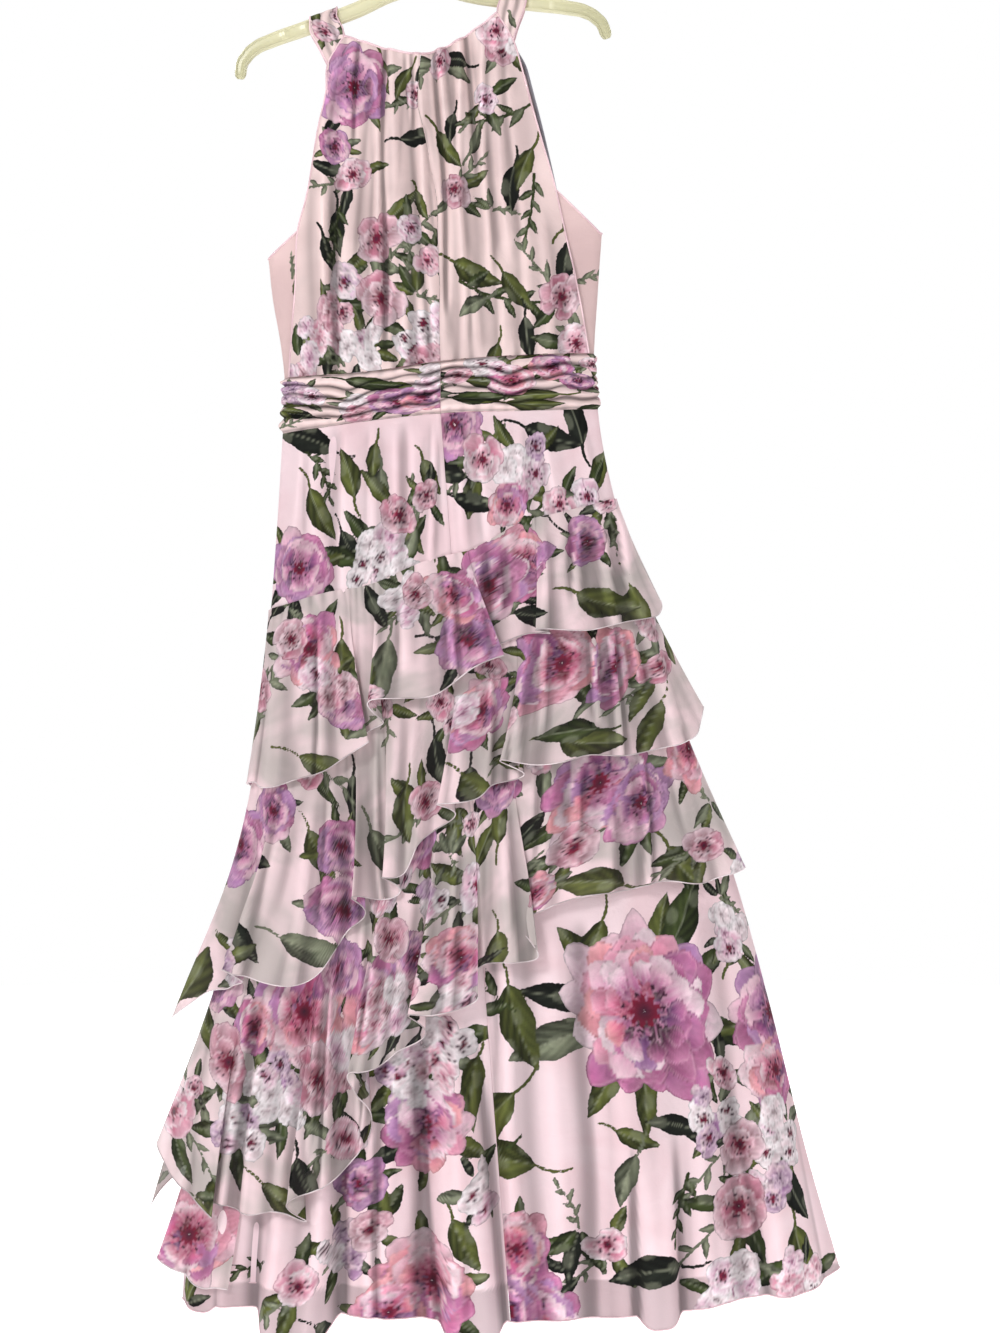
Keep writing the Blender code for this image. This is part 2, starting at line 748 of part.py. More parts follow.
def rod(name, places, radius=0.0, profile=None, sizes=None):
    """A curve through these places, as a closed mesh object that is not yet linked."""
    data = bpy.data.curves.new(name, "CURVE")
    data.dimensions = "3D"
    data.use_fill_caps = True
    data.bevel_resolution = 2
    if profile:
        data.bevel_mode = "OBJECT"
        data.bevel_object = profile
    else:
        data.bevel_depth = radius * MM
    spline_data = data.splines.new("POLY")
    spline_data.points.add(len(places) - 1)
    for i, (point, place) in enumerate(zip(spline_data.points, places)):
        point.co = (*(c * MM for c in place), 1)
        point.radius = 1 if sizes is None else sizes[i]
    curve = bpy.data.objects.new(f"{name}_curve", data)
    bpy.context.scene.collection.objects.link(curve)
    bpy.context.view_layer.update()
    evaluated = curve.evaluated_get(bpy.context.evaluated_depsgraph_get())
    mesh = bpy.data.meshes.new_from_object(evaluated)
    bpy.data.objects.remove(curve)
    edit = bmesh.new()
    edit.from_mesh(mesh)
    bmesh.ops.remove_doubles(edit, verts=edit.verts, dist=0.00001)
    bmesh.ops.recalc_face_normals(edit, faces=edit.faces)
    edit.to_mesh(mesh)
    edit.free()
    return bpy.data.objects.new(name, mesh)


def arm_profile(guides):
    """The arm's section: a rib along its top and bottom and a thinner web between."""
    tall, thick = ARM_HEIGHT / 2, ARM_THICK / 2
    quarter = [(thick * x, tall * y) for x, y in ARM_QUARTER]
    right = [(x, -y) for x, y in reversed(quarter)] + quarter
    outline = right + [(-x, -y) for x, y in right]
    data = bpy.data.curves.new("arm_profile", "CURVE")
    data.dimensions = "2D"
    line = data.splines.new("POLY")
    line.points.add(len(outline) - 1)
    for point, (x, y) in zip(line.points, outline):
        point.co = (x * MM, y * MM, 0, 1)
    line.use_cyclic_u = True
    guide = bpy.data.objects.new("arm_profile", data)
    guide.hide_render = True
    guide.display_type = "WIRE"
    guides.objects.link(guide)
    return guide


def hanger(material, collection, guides):
    """One moulding: two ribbed arms that turn down at the tips, and the hook."""
    drop_at = through(HANGER_ARM, "across", "drop")
    size_at = through(HANGER_ARM, "across", "size")
    places, sizes = [], []
    for across in [-a for a in reversed(ARM_PLACES)] + ARM_PLACES[1:]:
        places.append(hung(HANGER_AXIS + across, drop_at(abs(across))))
        sizes.append(float(size_at(abs(across))))
    arms = rod("hanger", places, profile=arm_profile(guides), sizes=sizes)
    ring = HOOK_INSIDE + HOOK_WIRE
    route = [hung(x, drop) for x, drop in zip(*HOOK_STEM.values())]
    for angle in np.radians(np.linspace(0, HOOK_END_TURN, HOOK_STEPS)):
        route.append(hung(ring * math.cos(angle), HOOK_INSIDE - ring * math.sin(angle)))
    hook = rod("hook_cutter", route, radius=HOOK_WIRE)
    hook.hide_render = True
    hook.display_type = "WIRE"
    guides.objects.link(hook)
    finish_object(arms, material, collection)
    join = arms.modifiers.new("hook", "BOOLEAN")
    join.operation = "UNION"
    join.object = hook


def neck_hook(material, collection):
    """The wire hook, fastened across the top of the centre seam."""
    drop = BODICE["seam_drop"][0] + HOOK_DROP
    middle = BODICE["seam"][0]
    places = []
    lift = OVERLAY_LIFT + WALL / 2 + EYE_WIRE + HOOK_LIFT
    for across, down in zip(*HOOK_WIRE_BEND.values()):
        turn = turn_at(np.array(middle + across), drop + down)
        places.append(tuple(on_body(turn, np.array(drop + down), lift)))
    finish_object(rod("neck_hook", places, radius=EYE_WIRE), material, collection)


# --- materials and assembly -------------------------------------------------------------


def material(name, colour, roughness, metallic=0.0, transmission=0.0):
    made = bpy.data.materials.new(name)
    made.use_nodes = True
    shader = made.node_tree.nodes["Principled BSDF"]
    shader.inputs["Base Color"].default_value = (*colour, 1)
    shader.inputs["Roughness"].default_value = roughness
    shader.inputs["Metallic"].default_value = metallic
    shader.inputs["Transmission Weight"].default_value = transmission
    return made


def clear():
    for obj in list(bpy.data.objects):
        bpy.data.objects.remove(obj)


def build():
    clear()
    dress = bpy.data.collections.new("maxi_dress")
    guides = bpy.data.collections.new("guides")
    for collection in (dress, guides):
        bpy.context.scene.collection.children.link(collection)
    printed = material("printed_chiffon", (0.78, 0.58, 0.62), 0.75)
    lining = material("lining", (0.86, 0.68, 0.70), 0.6)
    plastic = material("clear_plastic", (0.85, 0.83, 0.60), 0.25, transmission=0.5)
    steel = material("steel", (0.75, 0.75, 0.75), 0.3, metallic=1.0)

    hanger(plastic, dress, guides)
    cloth("strap_left", strap(STRAP_LEFT), printed, dress)
    cloth("strap_right", strap(STRAP_RIGHT), printed, dress)
    neck_hook(steel, dress)
    cloth("bodice_back_left", bodice_half("left", BACK, 13, 8), printed, dress)
    cloth("bodice_back_right", bodice_half("right", BACK, 13, 8), printed, dress)
    cloth("bodice_front", bodice_front(12, 8), printed, dress)
    cloth("side_panel_left", side_panel(0, 9, 4), printed, dress)
    cloth("side_panel_right", side_panel(1, 9, 4), printed, dress)

    left_back = centre_from_left, left_edge
    right_back = right_edge, centre_from_right
    front = front_left_edge, front_right_edge
    cloth("waistband_back_left", waistband_panel(*left_back, 8), printed, dress)
    cloth("waistband_back_right", waistband_panel(*right_back, 8), printed, dress)
    cloth("waistband_front", waistband_panel(*front, 14), printed, dress)
    cloth("skirt_back_left", skirt_panel(BACK, *left_back), printed, dress)
    cloth("skirt_back_right", skirt_panel(BACK, *right_back), printed, dress)
    cloth("skirt_front", skirt_panel(FRONT, *front), printed, dress)
    cloth("lining_back", lining_panel(right_edge, left_edge, 10), lining, dress)
    cloth("lining_front", lining_panel(*front, 10), lining, dress)

    for side, name in ((BACK, "back"), (FRONT, "front")):
        rows = [flounce_rows(FLOUNCE_1, side), flounce_rows(FLOUNCE_2, side)]
        rows.append(flounce_rows(FLOUNCE_3, side, corner=FRONT_CORNER))
        for number, table in enumerate(rows, 1):
            cloth(f"flounce_{number}_{name}", flounce(table, FLOUNCE_DOWN), printed, dress)
    short = flounce(flounce_round_left(FLOUNCE_4), evenly(3), seamed=False)
    cloth("flounce_4", short, printed, dress)


build()
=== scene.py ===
"""The look of a floral maxi dress on a moulded hanger: cloth, print, hems, camera and light.

The cloth is worked out in millimetres on the same flattened tube as the solids: a turn of 0
degrees is its right edge, 90 the back, 180 the left edge and 270 the front. x runs to the
right as the back is seen, and drop downwards from the rail that holds the hanger. Tables have
one row a line. In their rows side is 1 for the back and -1 for the front.
"""

import math

import bpy
import numpy as np
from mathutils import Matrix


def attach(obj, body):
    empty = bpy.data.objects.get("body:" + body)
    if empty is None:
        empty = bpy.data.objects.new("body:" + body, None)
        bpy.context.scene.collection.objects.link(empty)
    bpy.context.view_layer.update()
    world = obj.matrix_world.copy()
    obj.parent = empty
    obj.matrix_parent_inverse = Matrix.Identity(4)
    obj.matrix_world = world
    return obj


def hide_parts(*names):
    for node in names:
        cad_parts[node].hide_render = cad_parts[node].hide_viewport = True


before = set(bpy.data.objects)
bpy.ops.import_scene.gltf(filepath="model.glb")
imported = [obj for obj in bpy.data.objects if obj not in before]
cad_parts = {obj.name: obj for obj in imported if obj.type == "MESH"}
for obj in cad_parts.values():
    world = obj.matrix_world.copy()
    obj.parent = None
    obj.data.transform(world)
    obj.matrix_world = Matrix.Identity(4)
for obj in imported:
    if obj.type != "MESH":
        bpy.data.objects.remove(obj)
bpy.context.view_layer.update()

MM = 0.001
BACK, FRONT = 1, -1
SEAM = 0.3  # the gap between two pieces
OVERLAY_LIFT = 2.2  # the gathered bodice, out from the body
FLOUNCE_LIFT = 2.0  # the top of a flounce, out from the skirt
LEAST_LIFT = 6.0  # and the least of its hem
UNDERLAP = 14.0  # a side panel goes this far under the bodice's edge


def columns(names, rows):
    """A table: each named column of the rows as an array."""
    values = np.array([[float(v) for v in row.split()] for row in rows.strip().splitlines()])
    return {name: values[:, i] for i, name in enumerate(names.split())}


# The body's edges and thickness at each drop. Above the underarm they only set its curve.
BODY = columns("drop left right depth", """
    108 -155 232 22
    266 -155 232 38
    395 -151 227 52
    422 -148 225 54
    468 -143 222 54
    513 -135 219 50
    556 -130 218 46
    586 -130 222 44
    618 -132 226 48
    716 -138 248 64
    850 -148 289 84
    986 -161 330 100
    1113 -177 375 114
    1256 -209 415 128
    1436 -235 460 143
    1593 -245 505 153
    1640 -248 517 156
""")

# The gathered back, from neckline to waist: left edge, centre seam and right edge.
BODICE = columns("left left_drop seam seam_drop right right_drop", """
    -62 173 24 195 109 147
    -80 205 22 220 127 178
    -82 237 21 252 136 207
    -90 277 28 284 146 245
    -97 320 35 322 159 291
    -105 359 42 361 172 336
    -114 395 43 400 183 384
    -116 451 45 451 196 446
    -120 500 45 496 205 490
    -124 556 46 540 211 528
""")
NECK_BOW = 1.6  # how much the neckline flattens towards the centre seam
FRONT_ARMHOLE = 6.0  # the front reaches this much further out at the right armhole

# The seams above and below the waistband.
WAIST = columns("x top bottom", """
    -130 556 618
    -22 549 604
    46 539 597
    135 532 594
    222 528 591
""")
RUCHES = 5
RUCHE_LIFT = 5.52

# The top edge of each side panel under the arm: at the body's edge and at its inner end.
UNDERARM = columns("edge edge_drop inner inner_drop", """
    -148 422 -100 380
    225 393 164 336
""")

# Pleats of the gathered bodice and upper skirt. Each fades out at both ends.
PLEATS = columns("side top_x top_drop low_x low_drop half_width lift", """
    1 -74 190 -96 340 10 4
    1 -38 150 -70 520 14 5
    1 -4 150 -20 430 15 5
    1 10 150 32 420 10 5
    1 38 150 62 380 10 5
    1 64 150 76 330 11 4
    1 98 160 124 420 15 5
    1 -94 618 -95 745 13 6
    1 -50 606 -54 745 17 4
    1 20 598 20 735 17 4
    1 110 596 116 690 20 3
    -1 -60 190 -90 420 13 5
    -1 -24 150 -40 520 15 5
    -1 10 150 10 400 14 5
    -1 44 150 60 480 14 5
    -1 90 160 112 500 15 5
    -1 -80 616 -92 745 17 5
    -1 30 598 36 735 20 5
    -1 130 596 138 685 20 4
""")

# Long tubular folds of the skirt, which grow below the flounces and dip at the hem.
TUBES = columns("side top_x top_drop hem_x half_width lift dip", """
    1 -216 1500 -222 22 9 8
    1 -108 1480 -112 48 34 34
    1 48 1270 82 38 34 26
    1 280 1380 288 26 20 14
    1 385 1260 440 34 14 6
    -1 -196 1500 -204 30 9 10
    -1 -62 1440 -60 44 30 26
    -1 60 1300 70 34 24 18
    -1 190 1180 205 48 34 30
    -1 340 1200 365 36 22 14
""")
TUBE_GROWTH = 150.0  # a tube reaches its full height in this length
PLEAT_FADE = 25.0  # a pleat rises from the cloth and sinks into it in this length
PLEAT_ROUND, TUBE_ROUND = 2, 4  # how blunt their sections are
SIDE_FADE = 0.35  # sine of the turn at which a fold has its full height
HEM = columns("x drop", """
    -250 1590
    256 1594
    330 1588
    520 1550
""")
SETTLING = 12  # rounds in which a point's drop and its edge's drop come to agree
SEAM_FOOT = (124, 1600)  # where the skirt's centre seam meets the hem
SEAM_HEAD = (46, 597)
LINING_HEM = columns("x drop", """
    -250 1567
    520 1548
""")
LINING_INSET = columns("drop inset", """
    580 2
    700 7
    1600 12
""")

# Flounces, from right to left over the back. Each row is a fold's edge, trough or middle:
# where it leaves the seam, where it reaches the hem and how far the hem stands out from the
# skirt. Where hem_x turns back, the cloth doubles back under or over itself.
FLOUNCE_1 = columns("top_x top_drop hem_x hem_drop lift", """
    243 691 287 806 18
    233 693 273 826 20
    202 702 231 835 14
    174 709 186 838 22
    155 713 150 842 30
    146 716 166 840 14
    133 720 143 846 8
    84 748 96 864 11
    73 752 116 867 28
    58 755 79 886 28
    28 763 39 909 22
    0 775 0 918 24
    -22 785 -30 918 30
    -34 789 -15 943 15
    -45 792 -36 956 8
    -54 793 -46 965 12
    -62 794 -30 966 27
    -75 796 -62 982 24
    -96 801 -90 1002 20
    -118 808 -124 1010 15
    -132 812 -149 1012 12
    -143 815 -159 1012 10
    -148 817 -165 1011 9
""")
FLOUNCE_2 = columns("top_x top_drop hem_x hem_drop lift", """
    279 794 315 925 30
    270 808 318 961 16
    248 819 270 972 16
    219 822 225 979 20
    191 825 191 982 26
    163 826 146 986 26
    141 830 112 986 30
    127 837 138 996 15
    114 846 107 1012 8
    96 857 88 1024 20
    73 867 45 1030 28
    58 875 64 1045 14
    45 882 40 1058 8
    26 891 24 1078 16
    8 899 9 1105 24
    -11 907 -14 1112 29
    -22 918 4 1128 14
    -34 932 -19 1135 8
    -44 942 -46 1136 26
    -52 951 -34 1150 13
    -60 962 -56 1175 8
    -75 976 -84 1218 20
    -92 986 -124 1230 28
    -112 990 -163 1224 30
    -129 992 -180 1213 28
    -139 993 -166 1232 14
    -148 993 -184 1236 9
    -156 992 -199 1242 16
    -162 990 -214 1274 44
""")
FLOUNCE_3 = columns("top_x top_drop hem_x hem_drop lift", """
    326 946 380 1105 16
    309 952 354 1116 10
    281 956 326 1118 14
    264 961 295 1120 20
    245 965 262 1122 10
    215 969 215 1132 18
    180 971 165 1146 16
    144 974 136 1152 9
    130 981 126 1160 12
    119 992 153 1194 28
    101 1006 112 1206 24
    91 1010 88 1212 9
    84 1012 72 1222 12
    76 1014 88 1246 27
    62 1017 45 1258 26
    45 1022 13 1264 29
    34 1030 32 1280 14
    22 1044 8 1300 8
    6 1070 -6 1310 18
    -6 1092 -28 1320 22
    -16 1103 -52 1332 28
    -28 1114 -28 1368 14
    -42 1126 -36 1408 8
    -56 1143 -62 1438 12
    -68 1185 -92 1455 26
    -80 1200 -115 1472 34
    -94 1208 -98 1487 18
    -108 1213 -124 1484 12
    -122 1217 -150 1482 18
    -138 1217 -176 1481 9
    -156 1217 -211 1477 13
    -170 1217 -195 1485 26
    -187 1219 -218 1470 26
    -198 1223 -229 1449 28
    -207 1230 -235 1415 41
""")
FLOUNCE_4 = columns("top_x top_drop hem_x hem_drop lift", """
    -172 1466 -186 1570 10
    -190 1458 -204 1568 18
    -209 1450 -222 1564 14
    -227 1438 -234 1556 20
    -235 1424 -241 1539 30
""")
FRONT_CORNER = 70.0  # the front of flounce 3 hangs this much lower at its left corner
FLARE = 1.4  # a flounce leaves the skirt slowly and flares to its hem

# The halter straps, from the bodice's corner up to the side of the hanger's arm. The last
# row has no drop of its own: it lies on the arm's top.
STRAP_LEFT = columns("inner inner_drop outer outer_drop", """
    -62.4 172.8 -80.4 204.8
    -64 164 -91 184
    -68 156 -100 168
    -71 149 -101 158
""")
STRAP_RIGHT = columns("inner inner_drop outer outer_drop", """
    109.4 146.8 127.4 177.8
    110 140 133 159
    112 133 139 144
    113 128 142 132
""")
STRAP_OVER = 7.0  # half the strap's loop over the arm
STRAP_SQUARE = 0.5  # the loop's section is square rather than round
STRAP_ANGLES = (20, 50, 70, 90)
STRAP_CLEAR = 2.0  # the strap's middle, above the arm's top

# The hanger, in its own upright frame, from the middle to one tip.
HANGER_ARM = columns("across drop size", """
    0 117 1
    30 122 1
    65 134 1
    130 150 0.95
    168 159 0.9
    186 165 0.85
    198 174 0.8
    205 185 0.76
    208 198 0.74
""")
HANGER_TILT = math.radians(6.3)
ARM_SLOPE = math.radians(14)  # of both arms, on the whole
HANGER_AXIS = 5.0  # the arms' middle, to the right of the hook's
ARM_HEIGHT = 18.0
ARM_THICK = 10.0
HOOK_INSIDE = 22.0  # radius of the hook's inside
HOOK_WIRE = 3.6  # radius of the hook's rod
HOOK_STEM = columns("x drop", """
    5 117
    5 84
    7 68
    14 54
    23 40
""")
HOOK_END_TURN = 205.0

# Finer creases than the solids have. A negative lift is a trough, and lean makes one flank
# steeper than the other.
CREASES = columns("side top_x top_drop low_x low_drop half_width lift lean", """
    1 -54 160 -70 330 9 6 0.9
    1 -30 162 -28 538 9 8 0.9
    1 -86 300 -82 540 8 6 0.8
    1 22 166 43 540 8 7 -0.8
    1 62 160 68 520 7 7 0.8
    1 88 150 96 440 6 6 0.7
    1 124 200 150 520 9 5 -0.6
    1 -4 170 -2 470 8 4 -0.6
    1 46 160 52 300 6 4 -0.7
    1 84 145 98 300 7 5 -0.6
    1 100 150 118 420 8 4 0.6
    1 -17 160 -17 520 3.2 -5 0
    1 -44 155 -50 300 3.2 -4 0
    1 40 160 54 480 3.2 -5 0
    1 74 145 84 330 3.2 -4 0
    1 12 170 14 290 3 -4 0
    1 -88 250 -84 560 8 5 0.7
    1 -75 340 -74 556 7 -5 0.3
    1 -48 400 -52 552 8 4 -0.6
    1 -20 420 -22 549 7 3.5 0.6
    1 6 400 4 545 7 4 0.6
    1 26 440 26 543 6 3.5 -0.5
    1 74 400 82 538 8 4 0.6
    1 112 430 118 534 7 4 -0.6
    1 150 360 166 532 10 5 0.6
    1 190 400 200 530 8 4 -0.5
    1 -112 596 -122 800 9 6 0.7
    1 -76 596 -76 800 9 -5 0.2
    1 -56 600 -62 800 8 5 -0.6
    1 -30 600 -36 790 8 4 0.7
    1 -6 600 -10 780 7 5 0.7
    1 16 600 14 770 7 4 -0.6
    1 34 600 34 765 6 5 0.8
    1 60 595 70 750 9 5 0.7
    1 92 595 104 745 8 4 -0.6
    1 128 595 140 735 9 5 0.7
    1 162 594 180 715 8 4 -0.6
    1 196 592 216 700 8 4 0.6
    1 118 1160 136 1625 12 9 -0.8
    1 158 1150 176 1620 18 6 0.5
    1 196 1150 214 1620 14 -6 0.2
    1 246 1140 256 1620 16 5 -0.5
    1 318 1130 334 1620 18 7 0.7
    1 352 1120 380 1610 14 -6 0.2
    1 392 1180 424 1600 16 6 -0.6
    1 436 1250 470 1590 14 5 0.5
    1 60 1260 62 1640 12 9 0.8
    1 26 1270 24 1640 12 -10 0.3
    1 -4 1290 -8 1640 13 9 -0.8
    1 -36 1330 -40 1640 12 8 0.8
    1 -62 1400 -68 1640 10 -10 0.3
    1 -90 1420 -98 1640 12 9 0.8
    1 -128 1450 -134 1640 12 8 -0.8
    1 -160 1460 -166 1640 12 -10 0.2
    1 -196 1460 -200 1640 12 8 0.8
    -1 -70 180 -96 500 9 6 0.7
    -1 -34 160 -50 460 9 6 -0.7
    -1 -4 160 -10 400 8 6 0.7
    -1 24 160 30 440 8 5 -0.6
    -1 56 155 66 420 9 6 0.7
    -1 82 155 104 440 8 5 0.7
    -1 -60 420 -70 548 9 5 0.6
    -1 20 430 24 545 9 4 -0.6
    -1 130 400 146 534 10 5 0.6
    -1 -104 600 -116 790 9 6 0.7
    -1 -40 600 -48 780 9 5 -0.7
    -1 0 600 0 760 9 5 0.7
    -1 70 600 84 740 9 5 -0.7
    -1 160 600 180 710 9 5 0.7
    -1 130 1150 136 1620 16 8 0.7
    -1 264 1150 284 1620 16 8 -0.7
    -1 310 1150 330 1620 14 -7 0.2
    -1 400 1150 430 1600 16 7 0.7
    -1 0 1330 2 1630 16 9 0.7
    -1 -30 1380 -32 1630 13 -9 0.2
    -1 -130 1450 -134 1630 14 9 -0.7
    -1 -164 1460 -166 1630 12 -9 0.2
""")
CREASE_FADE = 45.0  # a crease rises from the cloth in this length
CREASE_WANDER = 2.2  # how far it strays from a straight line
LEANING = 0.55

# Folds that run down the flounces from their gathers. Each fades out just before its end,
# the seam being at 0 and the hem at 1.
FLUTES = columns("side number top_x low_x half_width lift lean ends", """
    1 1 262 284 5 6 0.8 1.3
    1 1 240 262 6 8 -0.8 1.2
    1 1 214 236 5 7 0.8 1.3
    1 1 196 200 5 6 -0.7 0.9
    1 1 176 172 7 4 0.6 0.7
    1 1 156 156 5 7 0.9 1.2
    1 1 106 112 5 6 -0.8 0.8
    1 1 84 92 5 5 0.7 1.2
    1 1 50 62 6 6 0.8 1.3
    1 1 10 8 8 5 -0.7 0.9
    1 1 -30 -22 5 6 0.8 1.3
    1 1 -68 -62 5 9 0.9 0.9
    1 1 -84 -82 6 6 -0.8 1.3
    1 1 -106 -116 7 5 0.7 0.8
    1 1 -128 -142 6 5 -0.7 1.3
    1 2 268 300 6 7 0.8 1.3
    1 2 252 280 5 6 -0.8 0.7
    1 2 236 239 5 9 0.9 1.4
    1 2 216 222 5 7 -0.8 0.8
    1 2 190 184 7 4 0.6 0.7
    1 2 162 152 5 6 0.7 0.9
    1 2 146 128 5 7 -0.8 1.3
    1 2 104 98 5 7 0.8 1.2
    1 2 78 66 6 7 -0.8 1.3
    1 2 52 50 5 6 0.8 0.9
    1 2 20 18 6 7 -0.8 1.2
    1 2 -4 -6 6 5 0.7 0.8
    1 2 -30 -20 5 7 0.8 1.3
    1 2 -52 -50 5 9 0.9 1.2
    1 2 -70 -80 6 8 -0.8 0.9
    1 2 -96 -118 7 6 0.7 1.3
    1 2 -118 -148 7 6 -0.7 0.8
    1 2 -136 -172 6 6 0.7 1.3
    1 3 314 362 6 8 0.8 1.3
    1 3 296 338 6 6 -0.8 0.8
    1 3 268 271 5 9 0.9 1.4
    1 3 244 248 5 7 -0.8 0.6
    1 3 226 230 6 6 0.7 1.2
    1 3 196 190 8 5 0.6 0.7
    1 3 170 158 6 6 -0.7 1.2
    1 3 148 138 5 6 0.7 0.8
    1 3 108 122 6 7 0.8 1.3
    1 3 90 96 5 7 -0.8 1.2
    1 3 66 52 7 7 0.8 1.3
    1 3 44 26 6 7 -0.8 0.9
    1 3 14 4 6 7 0.8 1.2
    1 3 -14 -36 6 8 -0.8 1.3
    1 3 -44 -44 5 8 0.9 1.2
    1 3 -66 -78 6 8 -0.8 1.3
    1 3 -84 -102 6 7 0.8 0.9
    1 3 -112 -132 7 8 0.8 1.3
    1 3 -136 -166 6 7 -0.8 1.2
    1 3 -160 -196 6 7 0.8 1.3
    1 3 -188 -216 6 6 -0.7 0.9
    -1 1 244 266 7 7 0.8 1.3
    -1 1 200 204 7 6 -0.8 0.9
    -1 1 146 150 8 7 0.8 1.3
    -1 1 84 88 7 6 -0.8 0.9
    -1 1 24 20 8 7 0.8 1.3
    -1 1 -40 -44 7 6 -0.8 0.9
    -1 1 -96 -110 7 6 0.8 1.2
    -1 2 262 290 7 7 -0.8 1.3
    -1 2 214 220 7 7 0.8 0.9
    -1 2 160 156 8 7 -0.8 1.3
    -1 2 96 92 8 7 0.8 1.2
    -1 2 30 26 7 7 -0.8 0.9
    -1 2 -40 -48 8 7 0.8 1.3
    -1 2 -100 -120 7 7 -0.8 1.2
    -1 3 304 340 7 7 0.8 1.3
    -1 3 250 262 7 7 -0.8 0.9
    -1 3 196 190 8 7 0.8 1.3
    -1 3 130 120 8 7 -0.8 1.2
    -1 3 60 48 7 7 0.8 1.3
    -1 3 -20 -34 8 7 -0.8 0.9
    -1 3 -90 -108 7 7 0.8 1.3
    -1 3 -150 -176 7 7 -0.8 1.2
""")


def through(table, key, name):
    """A smooth function through a table's column."""
    xs = table[key]
    ys = table[name]
    slope = np.gradient(ys, xs)

    def at(x):
        x = np.clip(x, xs[0], xs[-1])
        i = np.clip(np.searchsorted(xs, x) - 1, 0, len(xs) - 2)
        span = xs[i + 1] - xs[i]
        t = (x - xs[i]) / span
        rise = ys[i + 1] - ys[i]
        bend = slope[i] * span * t * (1 - t) ** 2 - slope[i + 1] * span * t**2 * (1 - t)
        return ys[i] + rise * t**2 * (3 - 2 * t) + bend

    return at


left_at = through(BODY, "drop", "left")
right_at = through(BODY, "drop", "right")
depth_at = through(BODY, "drop", "depth")
waist_top = through(WAIST, "x", "top")
waist_bottom = through(WAIST, "x", "bottom")
hem_line = through(HEM, "x", "drop")
lining_hem = through(LINING_HEM, "x", "drop")
lining_inset = through(LINING_INSET, "drop", "inset")
arm_drop = through(HANGER_ARM, "across", "drop")
arm_size = through(HANGER_ARM, "across", "size")


def ease(t):
    t = np.clip(t, 0, 1)
    return t * t * (3 - 2 * t)


def bump(q, flatness):
    """A fold's section: 1 in its middle and 0 at its feet, where q is -1 and 1."""
    return (1 - np.minimum(np.abs(q), 1) ** flatness) ** 2


def ridge(q, lean):
    """A crease's section. Its lean makes one flank steeper than the other."""
    q = q - lean * LEANING * np.exp(-q * q)
    return np.exp(-q * q)


def on_side(side, turn):
    """1 on that side of the body, fading to 0 at its edges."""
    return ease(side * np.sin(np.radians(turn)) / SIDE_FADE)


def fold_lift(x, drop, turn):
    """How far the solids' own folds raise the cloth."""
    lift = np.zeros_like(x)
    for side, x0, d0, x1, d1, half, high in zip(*PLEATS.values()):
        middle = x0 + (x1 - x0) * (drop - d0) / (d1 - d0)
        fade = ease((drop - d0) / PLEAT_FADE) * ease((d1 - drop) / PLEAT_FADE)
        lift += high * bump((x - middle) / half, PLEAT_ROUND) * fade * on_side(side, turn)
    for side, x0, d0, x1, half, high, _ in zip(*TUBES.values()):
        middle = x0 + (x1 - x0) * (drop - d0) / (hem_line(x1) - d0)
        grown = ease((drop - d0) / TUBE_GROWTH)
        lift += high * bump((x - middle) / half, TUBE_ROUND) * grown * on_side(side, turn)
    return lift


def hem_drop(x, turn):
    """The skirt's hem, which dips under each long fold."""
    drop = hem_line(x)
    for side, _, _, x1, half, _, dip in zip(*TUBES.values()):
        drop = drop + dip * bump((x - x1) / half, TUBE_ROUND) * on_side(side, turn)
    return drop


def fluted(x, v, side, number):
    """How far its folds raise a flounce, v being 0 at the seam and 1 at the hem."""
    lift = np.zeros_like(x)
    for on, of, x0, x1, half, high, lean, ends in zip(*FLUTES.values()):
        if (on, of) == (side, number):
            half = half * (1.15 + 0.45 * np.sin(12.9 * x0 + 7 * number))
            high = high * (0.85 + 0.4 * np.sin(5.3 * x0))
            q = (x - x0 - (x1 - x0) * v - 1.5 * np.sin(5 * v + x0)) / half
            lift += high * ridge(q, lean) * ease((v - 0.04) / 0.25) * ease((ends - v) / 0.3)
    return lift


def creased(x, drop, turn):
    """How far the finer creases raise the cloth."""
    lift = np.zeros_like(x)
    for number, (side, x0, d0, x1, d1, half, high, lean) in enumerate(zip(*CREASES.values())):
        wander = CREASE_WANDER * np.sin(drop / 47 + number)
        middle = x0 + (x1 - x0) * (drop - d0) / (d1 - d0) + wander
        fade = ease((drop - d0) / CREASE_FADE) * ease((d1 - drop) / CREASE_FADE + 0.35)
        lift += high * ridge((x - middle) / half, lean) * fade * on_side(side, turn)
    return lift


def body_x(turn, drop, inset=0.0):
    middle = (left_at(drop) + right_at(drop)) / 2
    half = (right_at(drop) - left_at(drop)) / 2 - inset
    return middle + half * np.cos(np.radians(turn))


def turn_at(x, drop, side=BACK):
    """The turn at which the body's surface has this x."""
    middle = (left_at(drop) + right_at(drop)) / 2
    half = (right_at(drop) - left_at(drop)) / 2
    turn = np.degrees(np.arccos(np.clip((x - middle) / half, -1, 1)))
    return turn if side == BACK else 360 - turn


def on_body(turn, drop, lift=0.0, inset=0.0, folded=True):
    """Points at these turns and drops, raised along the body's outward direction."""
    half = (right_at(drop) - left_at(drop)) / 2 - inset
    deep = depth_at(drop) / 2 - inset
    angle = np.radians(turn)
    x = body_x(turn, drop, inset)
    y = -deep * np.sin(angle)
    out_x = deep * np.cos(angle)
    out_y = -half * np.sin(angle)
    size = np.hypot(out_x, out_y)
    if folded:
        lift = lift + fold_lift(x, drop, turn)
    return np.stack([x + out_x / size * lift, y + out_y / size * lift, -drop], axis=-1)


